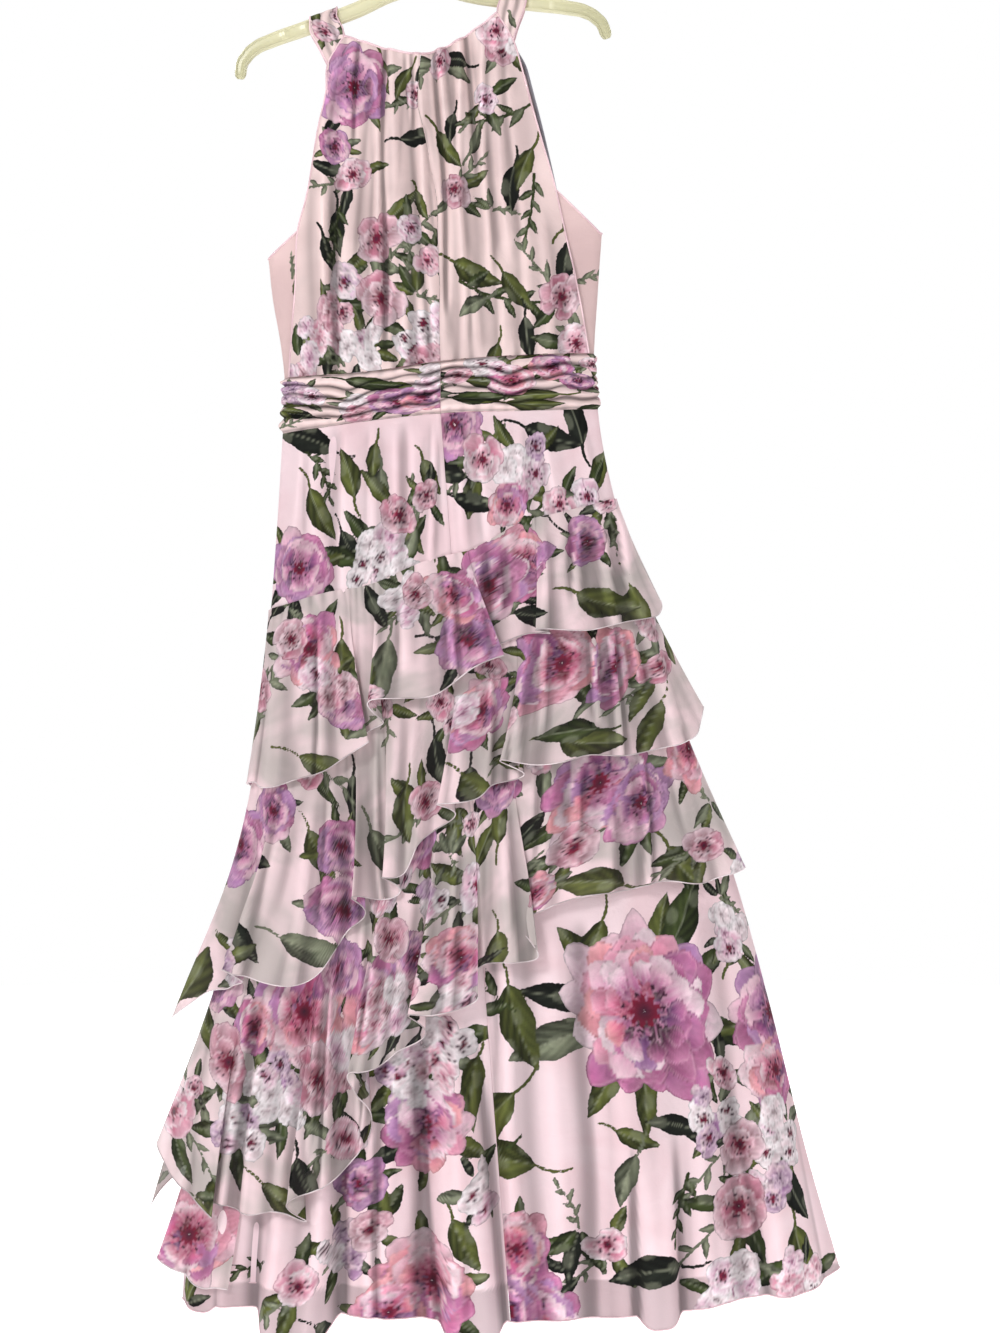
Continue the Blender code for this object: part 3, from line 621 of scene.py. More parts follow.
def seam_turn(drop):
    """Half a seam's gap at the body's edge, in degrees."""
    return np.degrees(0.5 * SEAM / depth_at(drop))


# --- the print --------------------------------------------------------------------------

# Linear colours of the printed cloth.
BLUSH, PALE, WHITE = (0.84, 0.60, 0.67), (0.90, 0.76, 0.80), (0.94, 0.89, 0.91)
MAUVE, LILAC, VIOLET = (0.58, 0.17, 0.37), (0.50, 0.25, 0.50), (0.17, 0.05, 0.18)
ROSE, PEACH, CRIMSON = (0.60, 0.10, 0.22), (0.86, 0.40, 0.42), (0.20, 0.01, 0.035)
PLUM, SMOKE = (0.045, 0.012, 0.03), (0.36, 0.27, 0.29)
OLIVE, GREEN = (0.085, 0.098, 0.024), (0.036, 0.05, 0.014)
SAGE, DARK = (0.15, 0.165, 0.11), (0.008, 0.010, 0.007)
LEAF_LIGHT = (0.50, 0.53, 0.38)
# A bloom's petals, each an inner and an outer colour: three kinds on its cool side, three on
# its warm side, and a light one.
BLOOMS = {
    "peony": (
        ((VIOLET, MAUVE), (VIOLET, LILAC), (PLUM, MAUVE)),
        ((ROSE, PEACH), (MAUVE, BLUSH), (ROSE, (0.76, 0.36, 0.48))),
        (MAUVE, PALE),
    ),
    "violet": (
        ((PLUM, MAUVE), (VIOLET, LILAC), (VIOLET, MAUVE)),
        ((VIOLET, (0.66, 0.30, 0.50)), (MAUVE, LILAC), (PLUM, LILAC)),
        (MAUVE, BLUSH),
    ),
    "rose": (
        ((VIOLET, MAUVE), (ROSE, MAUVE), (MAUVE, LILAC)),
        ((ROSE, BLUSH), (ROSE, PEACH), (CRIMSON, (0.78, 0.36, 0.46))),
        (ROSE, PALE),
    ),
    "white": (
        ((SMOKE, PALE), (MAUVE, BLUSH), (LILAC, PALE)),
        ((SMOKE, WHITE), (BLUSH, WHITE), (ROSE, PALE)),
        (BLUSH, WHITE),
    ),
}
BLOOM_RINGS = (1.0, 0.86, 0.71, 0.56, 0.41, 0.28)  # how far each ring of petals reaches
# A small flower's inner colour, its three outer colours and its rim.
BLOSSOMS = {
    "pink": (ROSE, (BLUSH, PALE, (0.78, 0.40, 0.50)), WHITE),
    "deep": (CRIMSON, ((0.72, 0.26, 0.38), (0.80, 0.42, 0.52), BLUSH), PALE),
    "pale": (MAUVE, (WHITE, PALE, BLUSH), WHITE),
    "white": ((0.62, 0.46, 0.50), (WHITE, WHITE, PALE), WHITE),
    "lilac": (VIOLET, (LILAC, BLUSH, (0.66, 0.44, 0.62)), PALE),
}
CLUSTERS = {
    "cluster": ("white", "pale", "white", "lilac"),
    "pinkcluster": ("pink", "pale", "deep", "white"),
}
LEAF_TONES = {"olive": OLIVE, "dark": DARK, "sage": SAGE, "green": GREEN}
BUNCH = (OLIVE, GREEN, OLIVE, SAGE, DARK, GREEN)  # what the leaves round a flower draw from
# What fills bare cloth: the kinds, their least and greatest size, the share of its size that
# each keeps clear round it, and the area in square millimetres with one of them.
FILLING = (
    (("peony", "violet", "rose"), 44, 78, 0.95, 62000),
    (("violet", "rose"), 28, 42, 0.9, 60000),
    (("cluster", "pinkcluster"), 24, 38, 0.8, 38000),
    (("deep", "pink", "deep"), 24, 34, 0.85, 26000),
    (("pink", "pale", "deep"), 16, 24, 0.85, 30000),
    (("branch", "spray"), 44, 78, 0.45, 15000),
    (("olive", "dark", "green", "olive"), 28, 58, 0.45, 8500),
    (("sage", "spray"), 22, 36, 0.45, 15000),
)
TRIES = 14  # places tried for each motif that is wanted
GAP = 1.0  # between two fillings
KEEP = 0.8  # the share of a placed motif's size that fillings keep out of
LAYERS = ("leaf", "bloom", "blossom")
FAR = -20.0  # the distance from an edge at which it no longer counts
GOLDEN_ANGLE = 2.399963
STAMENS = 9
STEM_WIDTH = 1.8


def mix(a, b, t):
    return np.asarray(a) * (1 - t) + np.asarray(b) * t


class Print:
    """Flowers and leaves drawn on one piece. s and t are its points' places in the flat cloth,
    in millimetres. Each layer holds a signed distance from its motifs' edges and a colour."""

    def __init__(self, s, t, seed):
        self.s, self.t = s.ravel(), t.ravel()
        self.random = np.random.default_rng(seed)
        size = self.s.size
        self.layers = {name: (np.full(size, FAR), np.zeros((size, 3))) for name in LAYERS}
        self.taken = []
        self.tilt = None

    def near(self, x, y, reach):
        return np.flatnonzero((np.abs(self.s - x) < reach) & (np.abs(self.t - y) < reach))

    def paint(self, layer, where, inside, colour):
        distance, paint = self.layers[layer]
        on = (inside > 0) | (inside > distance[where])
        chosen = where[on]
        paint[chosen] = colour[on]
        distance[chosen] = np.maximum(distance[chosen], inside[on])

    def local(self, where, x, y, angle):
        """Places along and across an axis from x, y. A tilt narrows the whole flower."""
        cos, sin = math.cos(angle), math.sin(angle)
        px, py = self.s[where], self.t[where]
        if self.tilt:
            cx, cy, axis, squash = self.tilt
            along = (px - cx) * math.cos(axis) + (py - cy) * math.sin(axis)
            grown = along * (1 / squash - 1)
            px, py = px + grown * math.cos(axis), py + grown * math.sin(axis)
        dx, dy = px - x, py - y
        return dx * cos + dy * sin, -dx * sin + dy * cos

    def petal(self, layer, where, x, y, angle, length, width, inner, outer, rim, glow):
        """A petal with streaks, a shaded flank, a light rim and a dark edge."""
        along, side = self.local(where, x, y, angle)
        phase, tilt = self.random.uniform(0, 2 * math.pi, 2)
        a = np.clip(along / length, 0, 1)
        half = width / 2 * np.sin(np.pi * a**1.7) ** 0.62
        half = half * (1 + 0.10 * np.sin(9 * a + phase + 2.2 * side / width))
        notch = 0.07 * width * np.sin(8 * side / width + tilt)
        inside = np.minimum(half - np.abs(side), length - along + notch)
        inside = np.minimum(inside, along + 2)
        streak = np.sin(side / width * 24 * (0.7 + a) + phase) * 0.5 + 0.5
        t = np.clip(a**1.35 + 0.34 * (streak - 0.6) * (1.1 - a), 0, 1)[:, None]
        colour = mix(inner, outer, t)
        wash = 0.5 + 0.5 * np.sin(along / 9 + tilt) * np.sin(side / 7 + phase)
        colour = mix(colour, rim, (glow * wash * a)[:, None])
        shade = 1 - 0.30 * ease(0.5 + side / width * math.cos(tilt) * 1.6)
        colour = colour * shade[:, None]
        colour = colour * (0.72 + 0.28 * ease(a * 2.2 - 0.2))[:, None]
        edge = np.maximum(inside, 0)
        colour = mix(colour, rim, glow * np.exp(-((edge - 2.8) / 1.6) ** 2)[:, None])
        colour = colour * (1 - 0.42 * np.exp(-edge / 1.0))[:, None]
        self.paint(layer, where, inside, colour)

    def leaf(self, x, y, angle, length, width, tone, bend=0.0):
        """A pointed leaf with a rib, and side veins on its dark and light halves."""
        where = self.near(x, y, length + width)
        along, side = self.local(where, x, y, angle)
        a = np.clip(along / length, 0, 1)
        side = side - bend * length * a * (1 - a)
        half = width / 2 * np.sin(np.pi * a**0.75) ** 0.9 * (1 + 0.06 * np.sin(a * 16 + x))
        inside = np.minimum(half - np.abs(side), np.minimum(along + 0.5, length - along))
        shade = np.where(side > 0, 0.50, 1.25) + 0.22 * np.sin(along / 3.4 - np.abs(side) * 0.7)
        shade = shade * (0.55 + 0.45 * ease(inside / (0.3 * width)))
        colour = np.asarray(tone) * shade[:, None]
        light = mix(tone, LEAF_LIGHT, 0.5)
        rib = np.exp(-((side / 0.8) ** 2)) * (a < 0.95)
        colour = mix(colour, light, (0.55 * rib)[:, None])
        wash = ease(np.sin(along / 9 + x) * np.sin(side / 6 + y) * 3 - 1)[:, None]
        colour = mix(colour, light, 0.30 * wash)
        self.paint("leaf", where, inside, colour)

    def stem(self, x, y, angle, length, bend, tone):
        where = self.near(x, y, length + 10)
        along, side = self.local(where, x, y, angle)
        a = np.clip(along / length, 0, 1)
        side = side - bend * length * a * (1 - a) * 2
        inside = STEM_WIDTH * (1.05 - 0.25 * a) - np.abs(side)
        inside = np.minimum(inside, np.minimum(along + 1, length - along))
        self.paint("leaf", where, inside, np.tile(np.asarray(tone), (len(where), 1)))

    def sprig(self, x, y, angle, length, tone, leaves):
        """A bent stem with leaves on both sides in turn and one at its end."""
        bend = self.random.uniform(-0.25, 0.25)
        self.stem(x, y, angle, length, bend, tone)
        for i in range(leaves):
            a = (i + 0.8) / leaves
            off = bend * length * a * (1 - a) * 2
            px = x + math.cos(angle) * a * length - math.sin(angle) * off
            py = y + math.sin(angle) * a * length + math.cos(angle) * off
            turn = angle + (0.75 if i % 2 else -0.75) * self.random.uniform(0.7, 1.2)
            size = length * self.random.uniform(0.24, 0.36) * (1.15 - 0.4 * a)
            self.leaf(px, py, turn if i < leaves - 1 else angle, size, size * 0.36, tone)

    def leaves(self, x, y, count, size, away, spread=2 * math.pi, start=0.0):
        for i in range(count):
            angle = start + spread * (i + self.random.uniform(0.1, 0.9)) / count
            tone = BUNCH[self.random.integers(6)]
            length = size * self.random.uniform(0.7, 1.15)
            px, py = x + math.cos(angle) * away, y + math.sin(angle) * away
            bend = self.random.uniform(-0.25, 0.25)
            self.leaf(px, py, angle, length, length * self.random.uniform(0.3, 0.42), tone, bend)

    def bloom(self, x, y, radius, kind, cold):
        """A full flower of several rings of petals, cool on one side and warm on the other."""
        where = self.near(x, y, radius * 1.3)
        cool, warm, light = BLOOMS[kind]
        cold = self.random.uniform(0, 2 * math.pi) if cold is None else cold
        most = int(6 + radius / 13)
        self.tilt = (x, y, self.random.uniform(0, math.pi), self.random.uniform(0.8, 0.97))
        for ring, reach in enumerate(BLOOM_RINGS):
            count = max(5, most - ring)
            turn = self.random.uniform(0, math.pi)
            for i in range(count):
                angle = turn + 2 * math.pi * (i + self.random.uniform(-0.22, 0.22)) / count
                chance = self.random.uniform(-0.5, 0.5)
                colours = cool if math.cos(angle - cold) + chance > 0 else warm
                if self.random.random() < 0.16 + 0.06 * ring:
                    inner, outer = light
                else:
                    inner, outer = colours[self.random.integers(3)]
                length = radius * reach * self.random.uniform(0.80, 1.10)
                width = radius * reach**0.7 * 5.6 / count * self.random.uniform(0.85, 1.2)
                away = radius * 0.05 * ring
                px, py = x + math.cos(angle) * away, y + math.sin(angle) * away
                self.petal("bloom", where, px, py, angle, length, width, inner, outer, BLUSH, 0.18)
        self.tilt = None
        self.centre("bloom", x, y, radius * 0.14)

    def centre(self, layer, x, y, radius):
        """A dark eye, and the tips of the stamens round it."""
        where = self.near(x, y, radius * 2.6)
        dx, dy = self.s[where] - x, self.t[where] - y
        far = np.hypot(dx, dy)
        angle = np.arctan2(dy, dx)
        wave = 0.75 + 0.5 * np.abs(np.sin(4.5 * angle + x))
        inside = radius * wave - far
        t = np.clip(far / radius, 0, 1)[:, None]
        colour = mix(PLUM, CRIMSON, t)
        paint = self.layers[layer][1]
        on = inside > 0
        soft = np.clip(inside[on] / 1.2, 0, 1)[:, None]
        paint[where[on]] = mix(paint[where[on]], colour[on], soft)
        for i in range(STAMENS):
            a = 2 * math.pi * (i + self.random.uniform(-0.3, 0.3)) / STAMENS
            r = radius * self.random.uniform(1.3, 2.0)
            off = np.hypot(dx - math.cos(a) * r, dy - math.sin(a) * r)
            paint[where[off < max(1.3, radius * 0.16)]] = PLUM

    def blossom(self, x, y, radius, kind, layer="blossom", eye=True):
        """An open flower of two rings of broad petals."""
        where = self.near(x, y, radius * 1.25)
        inner, outers, rim = BLOSSOMS[kind]
        turn, count = self.random.uniform(0, 2), self.random.integers(5, 7)
        self.tilt = (x, y, self.random.uniform(0, math.pi), self.random.uniform(0.66, 0.95))
        for reach in (1.0, 0.66):
            for i in range(count):
                angle = turn + reach + 2 * math.pi * (i + self.random.uniform(-0.2, 0.2)) / count
                outer = outers[self.random.integers(3)]
                length = radius * reach * self.random.uniform(0.72, 1.14)
                width = radius * self.random.uniform(0.8, 1.2) * reach
                self.petal(layer, where, x, y, angle, length, width, inner, outer, rim, 0.38)
        self.tilt = None
        if eye:
            self.centre(layer, x, y, radius * 0.19)

    def cluster(self, x, y, radius, kinds):
        """A head of overlapping small flowers."""
        count = max(4, int(6 * (radius / 34) ** 2))
        for k in range(count):
            a = k * GOLDEN_ANGLE + x
            r = radius * 0.85 * math.sqrt((k + 0.4) / count)
            fx = x + math.cos(a) * r + self.random.uniform(-3, 3)
            fy = y + math.sin(a) * r + self.random.uniform(-3, 3)
            size = self.random.uniform(15, 24)
            kind = kinds[self.random.integers(len(kinds))]
            self.blossom(fx, fy, size, kind, "bloom", eye=self.random.random() < 0.35)

    def motif(self, kind, x, y, size, angle):
        """A flower with its leaves, a head of small flowers, a leaf, a twig or a spray."""
        self.taken.append((x, y, size * KEEP))
        if kind in BLOOMS:
            self.leaves(x, y, max(5, int(size / 10)), size * 0.95, size * 0.6)
            self.bloom(x, y, size * 1.12, kind, angle or None)
        elif kind in BLOSSOMS:
            self.leaves(x, y, 3, size * 1.9, size * 0.5)
            self.sprig(x, y, angle + 2.4, size * 2.6, SAGE, 5)
            self.blossom(x, y, size * 1.1, kind)
        elif kind in CLUSTERS:
            self.leaves(x, y, 5, size * 1.2, size * 0.6)
            self.cluster(x, y, size, CLUSTERS[kind])
        elif kind in LEAF_TONES:
            tone = LEAF_TONES[kind]
            size = size * 1.3
            self.stem(x, y, angle + math.pi, size * 0.4, 0.2, tone)
            self.leaf(x, y, angle, size, size * 0.40, tone, 0.2)
        elif kind == "branch":
            self.sprig(x, y, angle, size * 1.2, GREEN, 7)
        elif kind == "spray":
            self.leaves(x, y, 3, size * 1.2, 4, 1.9, angle)
            self.sprig(x, y, angle + 3.4, size * 1.2, SAGE, 6)

    def fill(self, area, cover):
        """Puts more motifs at seeded places that are bare, the large ones first."""
        for names, least, most, room, each in FILLING:
            wanted = int(np.ceil(cover * area / each))
            for _ in range(wanted * TRIES):
                at = self.random.integers(self.s.size)
                x, y = self.s[at], self.t[at]
                size = self.random.uniform(least, most)
                reach = size * room
                bare = (math.hypot(x - a, y - b) > r + reach + GAP for a, b, r in self.taken)
                if wanted and all(bare):
                    kind = names[self.random.integers(len(names))]
                    self.motif(kind, x, y, size, self.random.uniform(0, 2 * math.pi))
                    self.taken[-1] = (x, y, reach)
                    wanted -= 1


# --- meshes -----------------------------------------------------------------------------

FIELDS = {"FLOAT": "value", "FLOAT_COLOR": "color", "FLOAT_VECTOR": "vector"}
NARROW = 20.0  # a row narrower than this gives no scale for the print
FINE, BROAD = 6, 22  # how far to each side a point is compared, for the painted shade of small and big folds
HEM_SIDES = 6


def new_object(name, points, faces):
    """A smooth mesh from points in millimetres."""
    mesh = bpy.data.meshes.new(name)
    mesh.from_pydata((points.reshape(-1, 3) * MM).tolist(), [], faces)
    mesh.shade_smooth()
    obj = bpy.data.objects.new(name, mesh)
    bpy.context.scene.collection.objects.link(obj)
    return obj


def flat_plan(grid):
    """Each point's place in the flat cloth: across it, with the cloth in its folds counted,
    and down it. Each row is fitted to the row's own ends, so that the print isn't skewed."""
    across = np.linalg.norm(np.diff(grid[..., :2], axis=1), axis=-1)
    arc = np.concatenate([np.zeros((len(grid), 1)), np.cumsum(across, axis=1)], axis=1)
    first, last = grid[:, :1, 0], grid[:, -1:, 0]
    net = last - first
    if np.abs(net).min() < NARROW:
        return first.mean() + arc, -grid[..., 2]
    fullness = arc[:, -1].mean() / np.abs(net).mean()
    middle = (first + last) / 2
    s = middle + ((first - middle) + arc * net / arc[:, -1:]) * fullness
    return s, -grid[..., 2]


def relief(grid, reach):
    """How far each point stands out from the cloth round it, in millimetres."""
    step = np.linalg.norm(np.diff(grid, axis=1), axis=-1).mean()
    n = max(1, int(reach / step))
    padded = np.pad(grid, ((0, 0), (n, n), (0, 0)), mode="reflect", reflect_type="odd")
    total = np.cumsum(np.pad(padded, ((0, 0), (1, 0), (0, 0))), axis=1)
    smooth = (total[:, 2 * n + 1:] - total[:, : -2 * n - 1]) / (2 * n + 1)
    normal = np.cross(np.gradient(grid, axis=1), np.gradient(grid, axis=0))
    normal /= np.maximum(np.linalg.norm(normal, axis=-1, keepdims=True), 1e-9)
    outwards = np.sign((normal[..., 1] * grid[..., 1]).mean())
    return outwards * ((grid - smooth) * normal).sum(axis=-1)


def painted_fold_shade(grid):
    """Painted shade in the folds, where the thin cloth also lies close, and painted light on their
    crests.
    """
    deep = 0.65 * relief(grid, FINE) / 0.55 + 0.35 * relief(grid, BROAD) / 5.0
    return 1 + 0.62 * np.tanh(np.minimum(deep, 0)) + 0.16 * np.tanh(np.maximum(deep, 0))


def point_data(obj, name, kind, values):
    layer = obj.data.attributes.new(name, kind, "POINT")
    layer.data.foreach_set(FIELDS[kind], values.astype(np.float32).ravel())


def motifs_of(node):
    """A piece's larger motifs: kind, x, drop, size and angle in degrees."""
    for motif in HEROES.get(node, "").split(","):
        if motif.strip():
            kind, *numbers = motif.split()
            yield kind, *map(float, numbers)


def draw(node, grid, printed, fill, cover, squeeze):
    """The print of one piece: its larger motifs at their places, and then its fillings."""
    s, t = flat_plan(grid)
    drawn = Print(s, t * squeeze, SEEDS[node])
    if printed:
        flat = grid.reshape(-1, 3)
        for kind, x, drop, size, degrees in motifs_of(node):
            at = np.argmin((flat[:, 0] - x) ** 2 + (flat[:, 2] + drop) ** 2)
            drawn.motif(kind, drawn.s[at], drawn.t[at], size, math.radians(degrees))
        if fill:
            across, along = np.diff(s, axis=1)[:-1], np.diff(t, axis=0)[:, :-1]
            drawn.fill(float(np.abs(across * along).sum()) * squeeze, cover)
    return drawn


def sheet(node, grid, material, printed=True, fill=True, cover=1.0, squeeze=1.0, ground=1.0,
          level=False):
    """The cloth in its solid's place. cover is how much filling its print has, squeeze the
    cloth's height over its showing height, ground the painted shade of its ground at each
    point, and level adds the painted shade of folds that run across as well."""
    rows, across, _ = grid.shape
    number = np.arange(rows * across).reshape(rows, across)
    corners = [number[:-1, :-1], number[:-1, 1:], number[1:, 1:], number[1:, :-1]]
    obj = new_object(f"{node}_cloth", grid, np.stack(corners, axis=-1).reshape(-1, 4).tolist())
    drawn = draw(node, grid, printed, fill, cover, squeeze)
    for layer, (distance, paint) in drawn.layers.items():
        depth = np.clip(distance, FAR, -FAR)[:, None] / (-2 * FAR) + 0.5
        point_data(obj, layer, "FLOAT_COLOR", np.concatenate([paint, depth], axis=1))
    # painted shade in the folds and painted light on their crests, kept as the point data fold
    shade = painted_fold_shade(grid)
    if level:
        shade *= painted_fold_shade(grid.transpose(1, 0, 2)[:, ::-1]).T[::-1]
    point_data(obj, "fold", "FLOAT", shade)
    # the painted shade of the ground, darker below the lining's hem on the skirt
    point_data(obj, "under", "FLOAT", ground * np.ones_like(shade))
    plan = np.stack([drawn.s, drawn.t, np.zeros_like(drawn.s)], axis=-1) * MM
    point_data(obj, "plan", "FLOAT_VECTOR", plan)
    obj.data.materials.append(material)
    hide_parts(node)
    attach(obj, "root")
    return obj


def rolled(name, line, radius, material):
    """A narrow rolled edge along a line of points, in millimetres."""
    ahead = np.gradient(line, axis=0)
    ahead /= np.maximum(np.linalg.norm(ahead, axis=1, keepdims=True), 1e-6)
    up = np.tile(np.array([0.0, 0.0, 1.0]), (len(line), 1))
    up[np.abs(ahead[:, 2]) > 0.8] = (0.0, 1.0, 0.0)
    one = np.cross(ahead, up)
    one /= np.linalg.norm(one, axis=1, keepdims=True)
    two = np.cross(ahead, one)
    turns = np.linspace(0, 2 * math.pi, HEM_SIDES, endpoint=False)[None, :, None]
    ring = np.cos(turns) * one[:, None] + np.sin(turns) * two[:, None]
    points = line[:, None] + ring * radius
    number = np.arange(points.size // 3).reshape(len(line), HEM_SIDES)
    beside = np.roll(number, -1, axis=1)
    faces = np.stack([number[:-1], beside[:-1], beside[1:], number[1:]], axis=-1)
    ends = [number[0, ::-1].tolist(), number[-1].tolist()]
    obj = new_object(name, points, faces.reshape(-1, 4).tolist() + ends)
    obj.data.materials.append(material)
    return obj


def place(node, grid, material, held, rests, *trims, **options):
    """One piece of cloth with its rolled edges: each trim's name, line, radius and material."""
    obj = sheet(node, grid, material, **options)
    edges = [rolled(f"{node}_{name}", *trim) for name, *trim in trims]
    for edge in edges:
        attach(edge, "root")


# --- surfaces ---------------------------------------------------------------------------

SEAM_DIP, SEAM_REACH = 1.2, 0.004  # a piece's edge dips by millimetres, over metres
GIRTH = 2.1  # the way round the body, roughly, in metres


def panel(ends, across, down, top, bottom, lift=None, inset=None, folded=True):
    """A piece between two edges, each a turn at a drop, and two lines, each a drop at an x."""
    start, end = ends
    u, w = np.meshgrid(np.linspace(0, 1, across), np.linspace(0, 1, down))
    drop = np.full_like(u, WAIST["bottom"][0])
    for _ in range(SETTLING):
        turn = start(drop) + (end(drop) - start(drop)) * u
        x = body_x(turn, drop)
        drop = top(x) * (1 - w) + bottom(x, turn) * w
    raised = lift(x, w, turn) if lift else 0.0
    if folded:
        raised = raised + creased(x, drop, turn)
    edge = np.minimum(u, 1 - u) * (end(drop) - start(drop)) / 360 * GIRTH
    raised = raised - SEAM_DIP * np.exp(-(edge / SEAM_REACH) ** 2)
    return on_body(turn, drop, raised, inset(drop) if inset else 0.0, folded)


def side_seam(turn, away):
    """A piece's edge at a side seam, half the seam's gap from it."""
    return lambda drop: turn + away * seam_turn(drop)


def centre_seam(away):
    """A piece's edge at the centre seam, which runs from the waist to the hem."""
    (x0, d0), (x1, d1) = SEAM_HEAD, SEAM_FOOT

    def edge(drop):
        x = x0 + (x1 - x0) * np.maximum(drop - d0, 0) / (d1 - d0)
        return turn_at(x + away * SEAM / 2, drop)

    return edge


BACK_LEFT = centre_seam(-1), side_seam(180, -1)
BACK_RIGHT = side_seam(0, 1), centre_seam(1)
WHOLE_BACK = side_seam(0, 1), side_seam(180, -1)
WHOLE_FRONT = side_seam(180, 1), side_seam(360, -1)


def bodice_half(edge, side, across, down, reach=0.0):
    """From an armhole to the centre. reach is how much further out its armhole is."""
    last = len(BODICE["seam"]) - 1.0
    table = dict(BODICE, level=np.arange(last + 1))
    columns_at = {name: through(table, "level", name) for name in BODICE}
    outwards = 1 if edge == "right" else -1
    u, at = np.meshgrid(np.linspace(0, 1, across), np.linspace(0, 1, down) ** 0.95 * last)
    beyond = outwards * reach * ease((6 - at) / 3) * ease(at - 1)
    outer = columns_at[edge](at) + beyond
    outer_drop = columns_at[f"{edge}_drop"](at)
    seam = columns_at["seam"](at) + outwards * SEAM / 2
    seam_drop = columns_at["seam_drop"](at)
    x = outer + (seam - outer) * u
    bow = np.abs(1 - u) ** NECK_BOW
    drop = seam_drop + (outer_drop - seam_drop) * bow
    lowest = BODICE["seam_drop"][-1] * (1 - bow) + BODICE[f"{edge}_drop"][-1] * bow
    drop = drop + (waist_top(x) - SEAM / 2 - lowest) * np.clip(at - last + 1, 0, 1)
    turn = turn_at(x, drop, side)
    gathers = 1.2 * np.sin(x / 3.1 + 0.6 * np.sin(x / 9)) * np.exp(-at / 0.8)
    gathers += 1.1 * np.sin(x / 3.6 + np.sin(x / 11)) * np.exp(-(last - at) / 0.45)
    seam_dip = 1.6 * np.exp(-(((x - seam) / 2.2) ** 2)) if side == BACK else 0.0
    lift = OVERLAY_LIFT + creased(x, drop, turn) + gathers - seam_dip
    return on_body(turn, drop, lift)


def side_panel(index, name):
    """The smooth under-bodice below an armhole, from under the back's edge to the front's."""
    edge, edge_drop, inner, inner_drop = (column[index] for column in UNDERARM.values())
    outer = through(BODICE, f"{name}_drop", name)
    away = 1 if name == "left" else -1

    def under(side, whole=0):
        return lambda drop: turn_at(outer(drop) + away * UNDERLAP, drop, side) - whole

    def top(x):
        rise = (x - edge) / (inner - edge)
        return edge_drop + (inner_drop - edge_drop) * np.clip(rise, 0, 1)

    ends = (under(BACK), under(FRONT)) if name == "left" else (under(FRONT, 360), under(BACK))
    return panel(ends, 60, 60, top, lambda x, turn: waist_top(x) - SEAM / 2, folded=False)


def ruched(x, w, turn):
    """How far the ruches raise the waistband, w being 0 at its top and 1 at its foot."""
    wander = 0.07 * np.sin(x / 31) + 0.05 * np.sin(x / 13 + turn / 40) + 0.03 * np.sin(x / 7)
    at = w + wander * w * (1 - w) * 4
    ridges = np.abs(np.sin(math.pi * RUCHES * at)) ** 0.9
    small = 0.9 * np.sin(math.pi * 12 * at + x / 17) * ease(np.sin(x / 23) + 0.6)
    puckers = 0.35 * np.sin(x / 2.6 + 3 * w) * ease(1 - w * (1 - w) * 5)
    high = RUCHE_LIFT * ridges * (1 + 0.25 * np.sin(x / 19)) + small
    return high * ease(w * (1 - w) * 16) + puckers


def flounce_rows(table, side, seamed=True, corner=0.0):
    """A flounce's rows on one side, from right to left. The front has every other fold."""
    rows = {name: column.copy() for name, column in table.items()}
    if side == FRONT and seamed:
        last = len(rows["lift"]) - 1
        taken = np.concatenate([[0, 1], np.arange(2, last - 1, 2), [last - 1, last]])
        rows = {name: column[taken] for name, column in rows.items()}
        rows["hem_drop"][-1] += corner
    for line in ("top", "hem"):
        drop = rows[f"{line}_drop"]
        turn = turn_at(rows[f"{line}_x"], drop)
        turn[-1] = 180
        if seamed:
            turn[0] = seam_turn(drop[0])
            turn[-1] -= seam_turn(drop[-1])
        rows[f"{line}_turn"] = turn if side == BACK else 360 - turn
    return rows


def spline(values, places):
    """A smooth curve through values at 0, 1, 2 and so on."""
    padded = np.concatenate([[2 * values[0] - values[1]], values, [2 * values[-1] - values[-2]]])
    i = np.clip(places.astype(int), 0, len(values) - 2)
    t = places - i
    before, here, there, after = (padded[i + k] for k in range(4))
    curve = 2 * here + (there - before) * t
    curve += (2 * before - 5 * here + 4 * there - after) * t**2
    curve += (3 * here - before - 3 * there + after) * t**3
    return curve / 2


def flounce(rows, per_row, down, number, side=None, seamed=True):
    """A flounce between its rows, with ripples, gathers at its seam and the folds below them."""
    last = len(rows["lift"]) - 1
    at_row, v = np.meshgrid(np.linspace(0, last, per_row * last + 1), np.linspace(0, 1, down))
    at = {name: spline(column, at_row) for name, column in rows.items()}
    turn = at["top_turn"] + (at["hem_turn"] - at["top_turn"]) * v
    drop = at["top_drop"] + (at["hem_drop"] - at["top_drop"]) * v
    calm = ease(np.minimum(at_row, last - at_row))
    drop = drop + 3.0 * v**3 * np.sin(2.6 * at_row + number) * calm
    if seamed:
        turn = np.clip(turn, *np.sort([rows["hem_turn"][0], rows["hem_turn"][-1]]))
    lift = FLOUNCE_LIFT + (np.maximum(at["lift"], LEAST_LIFT) - FLOUNCE_LIFT) * v**FLARE
    lift = lift + 2.2 * v**1.5 * np.sin(4.1 * at_row + number + 2 * v) * calm
    waves = 0.9 * v * np.sin(7.3 * at_row + 2 * number - 3 * v)
    lift = lift + waves * np.sin(1.1 * at_row + number) ** 2 * calm
    gathers = 0.7 * np.sin(9 * at_row + 2 * np.sin(at_row)) * np.exp(-v * 9)
    flutes = fluted(body_x(turn, drop), v, side, number) * (0.25 + 0.75 * calm)
    return on_body(turn, drop, lift + gathers + flutes, folded=False)


# --- hanger and straps ------------------------------------------------------------------

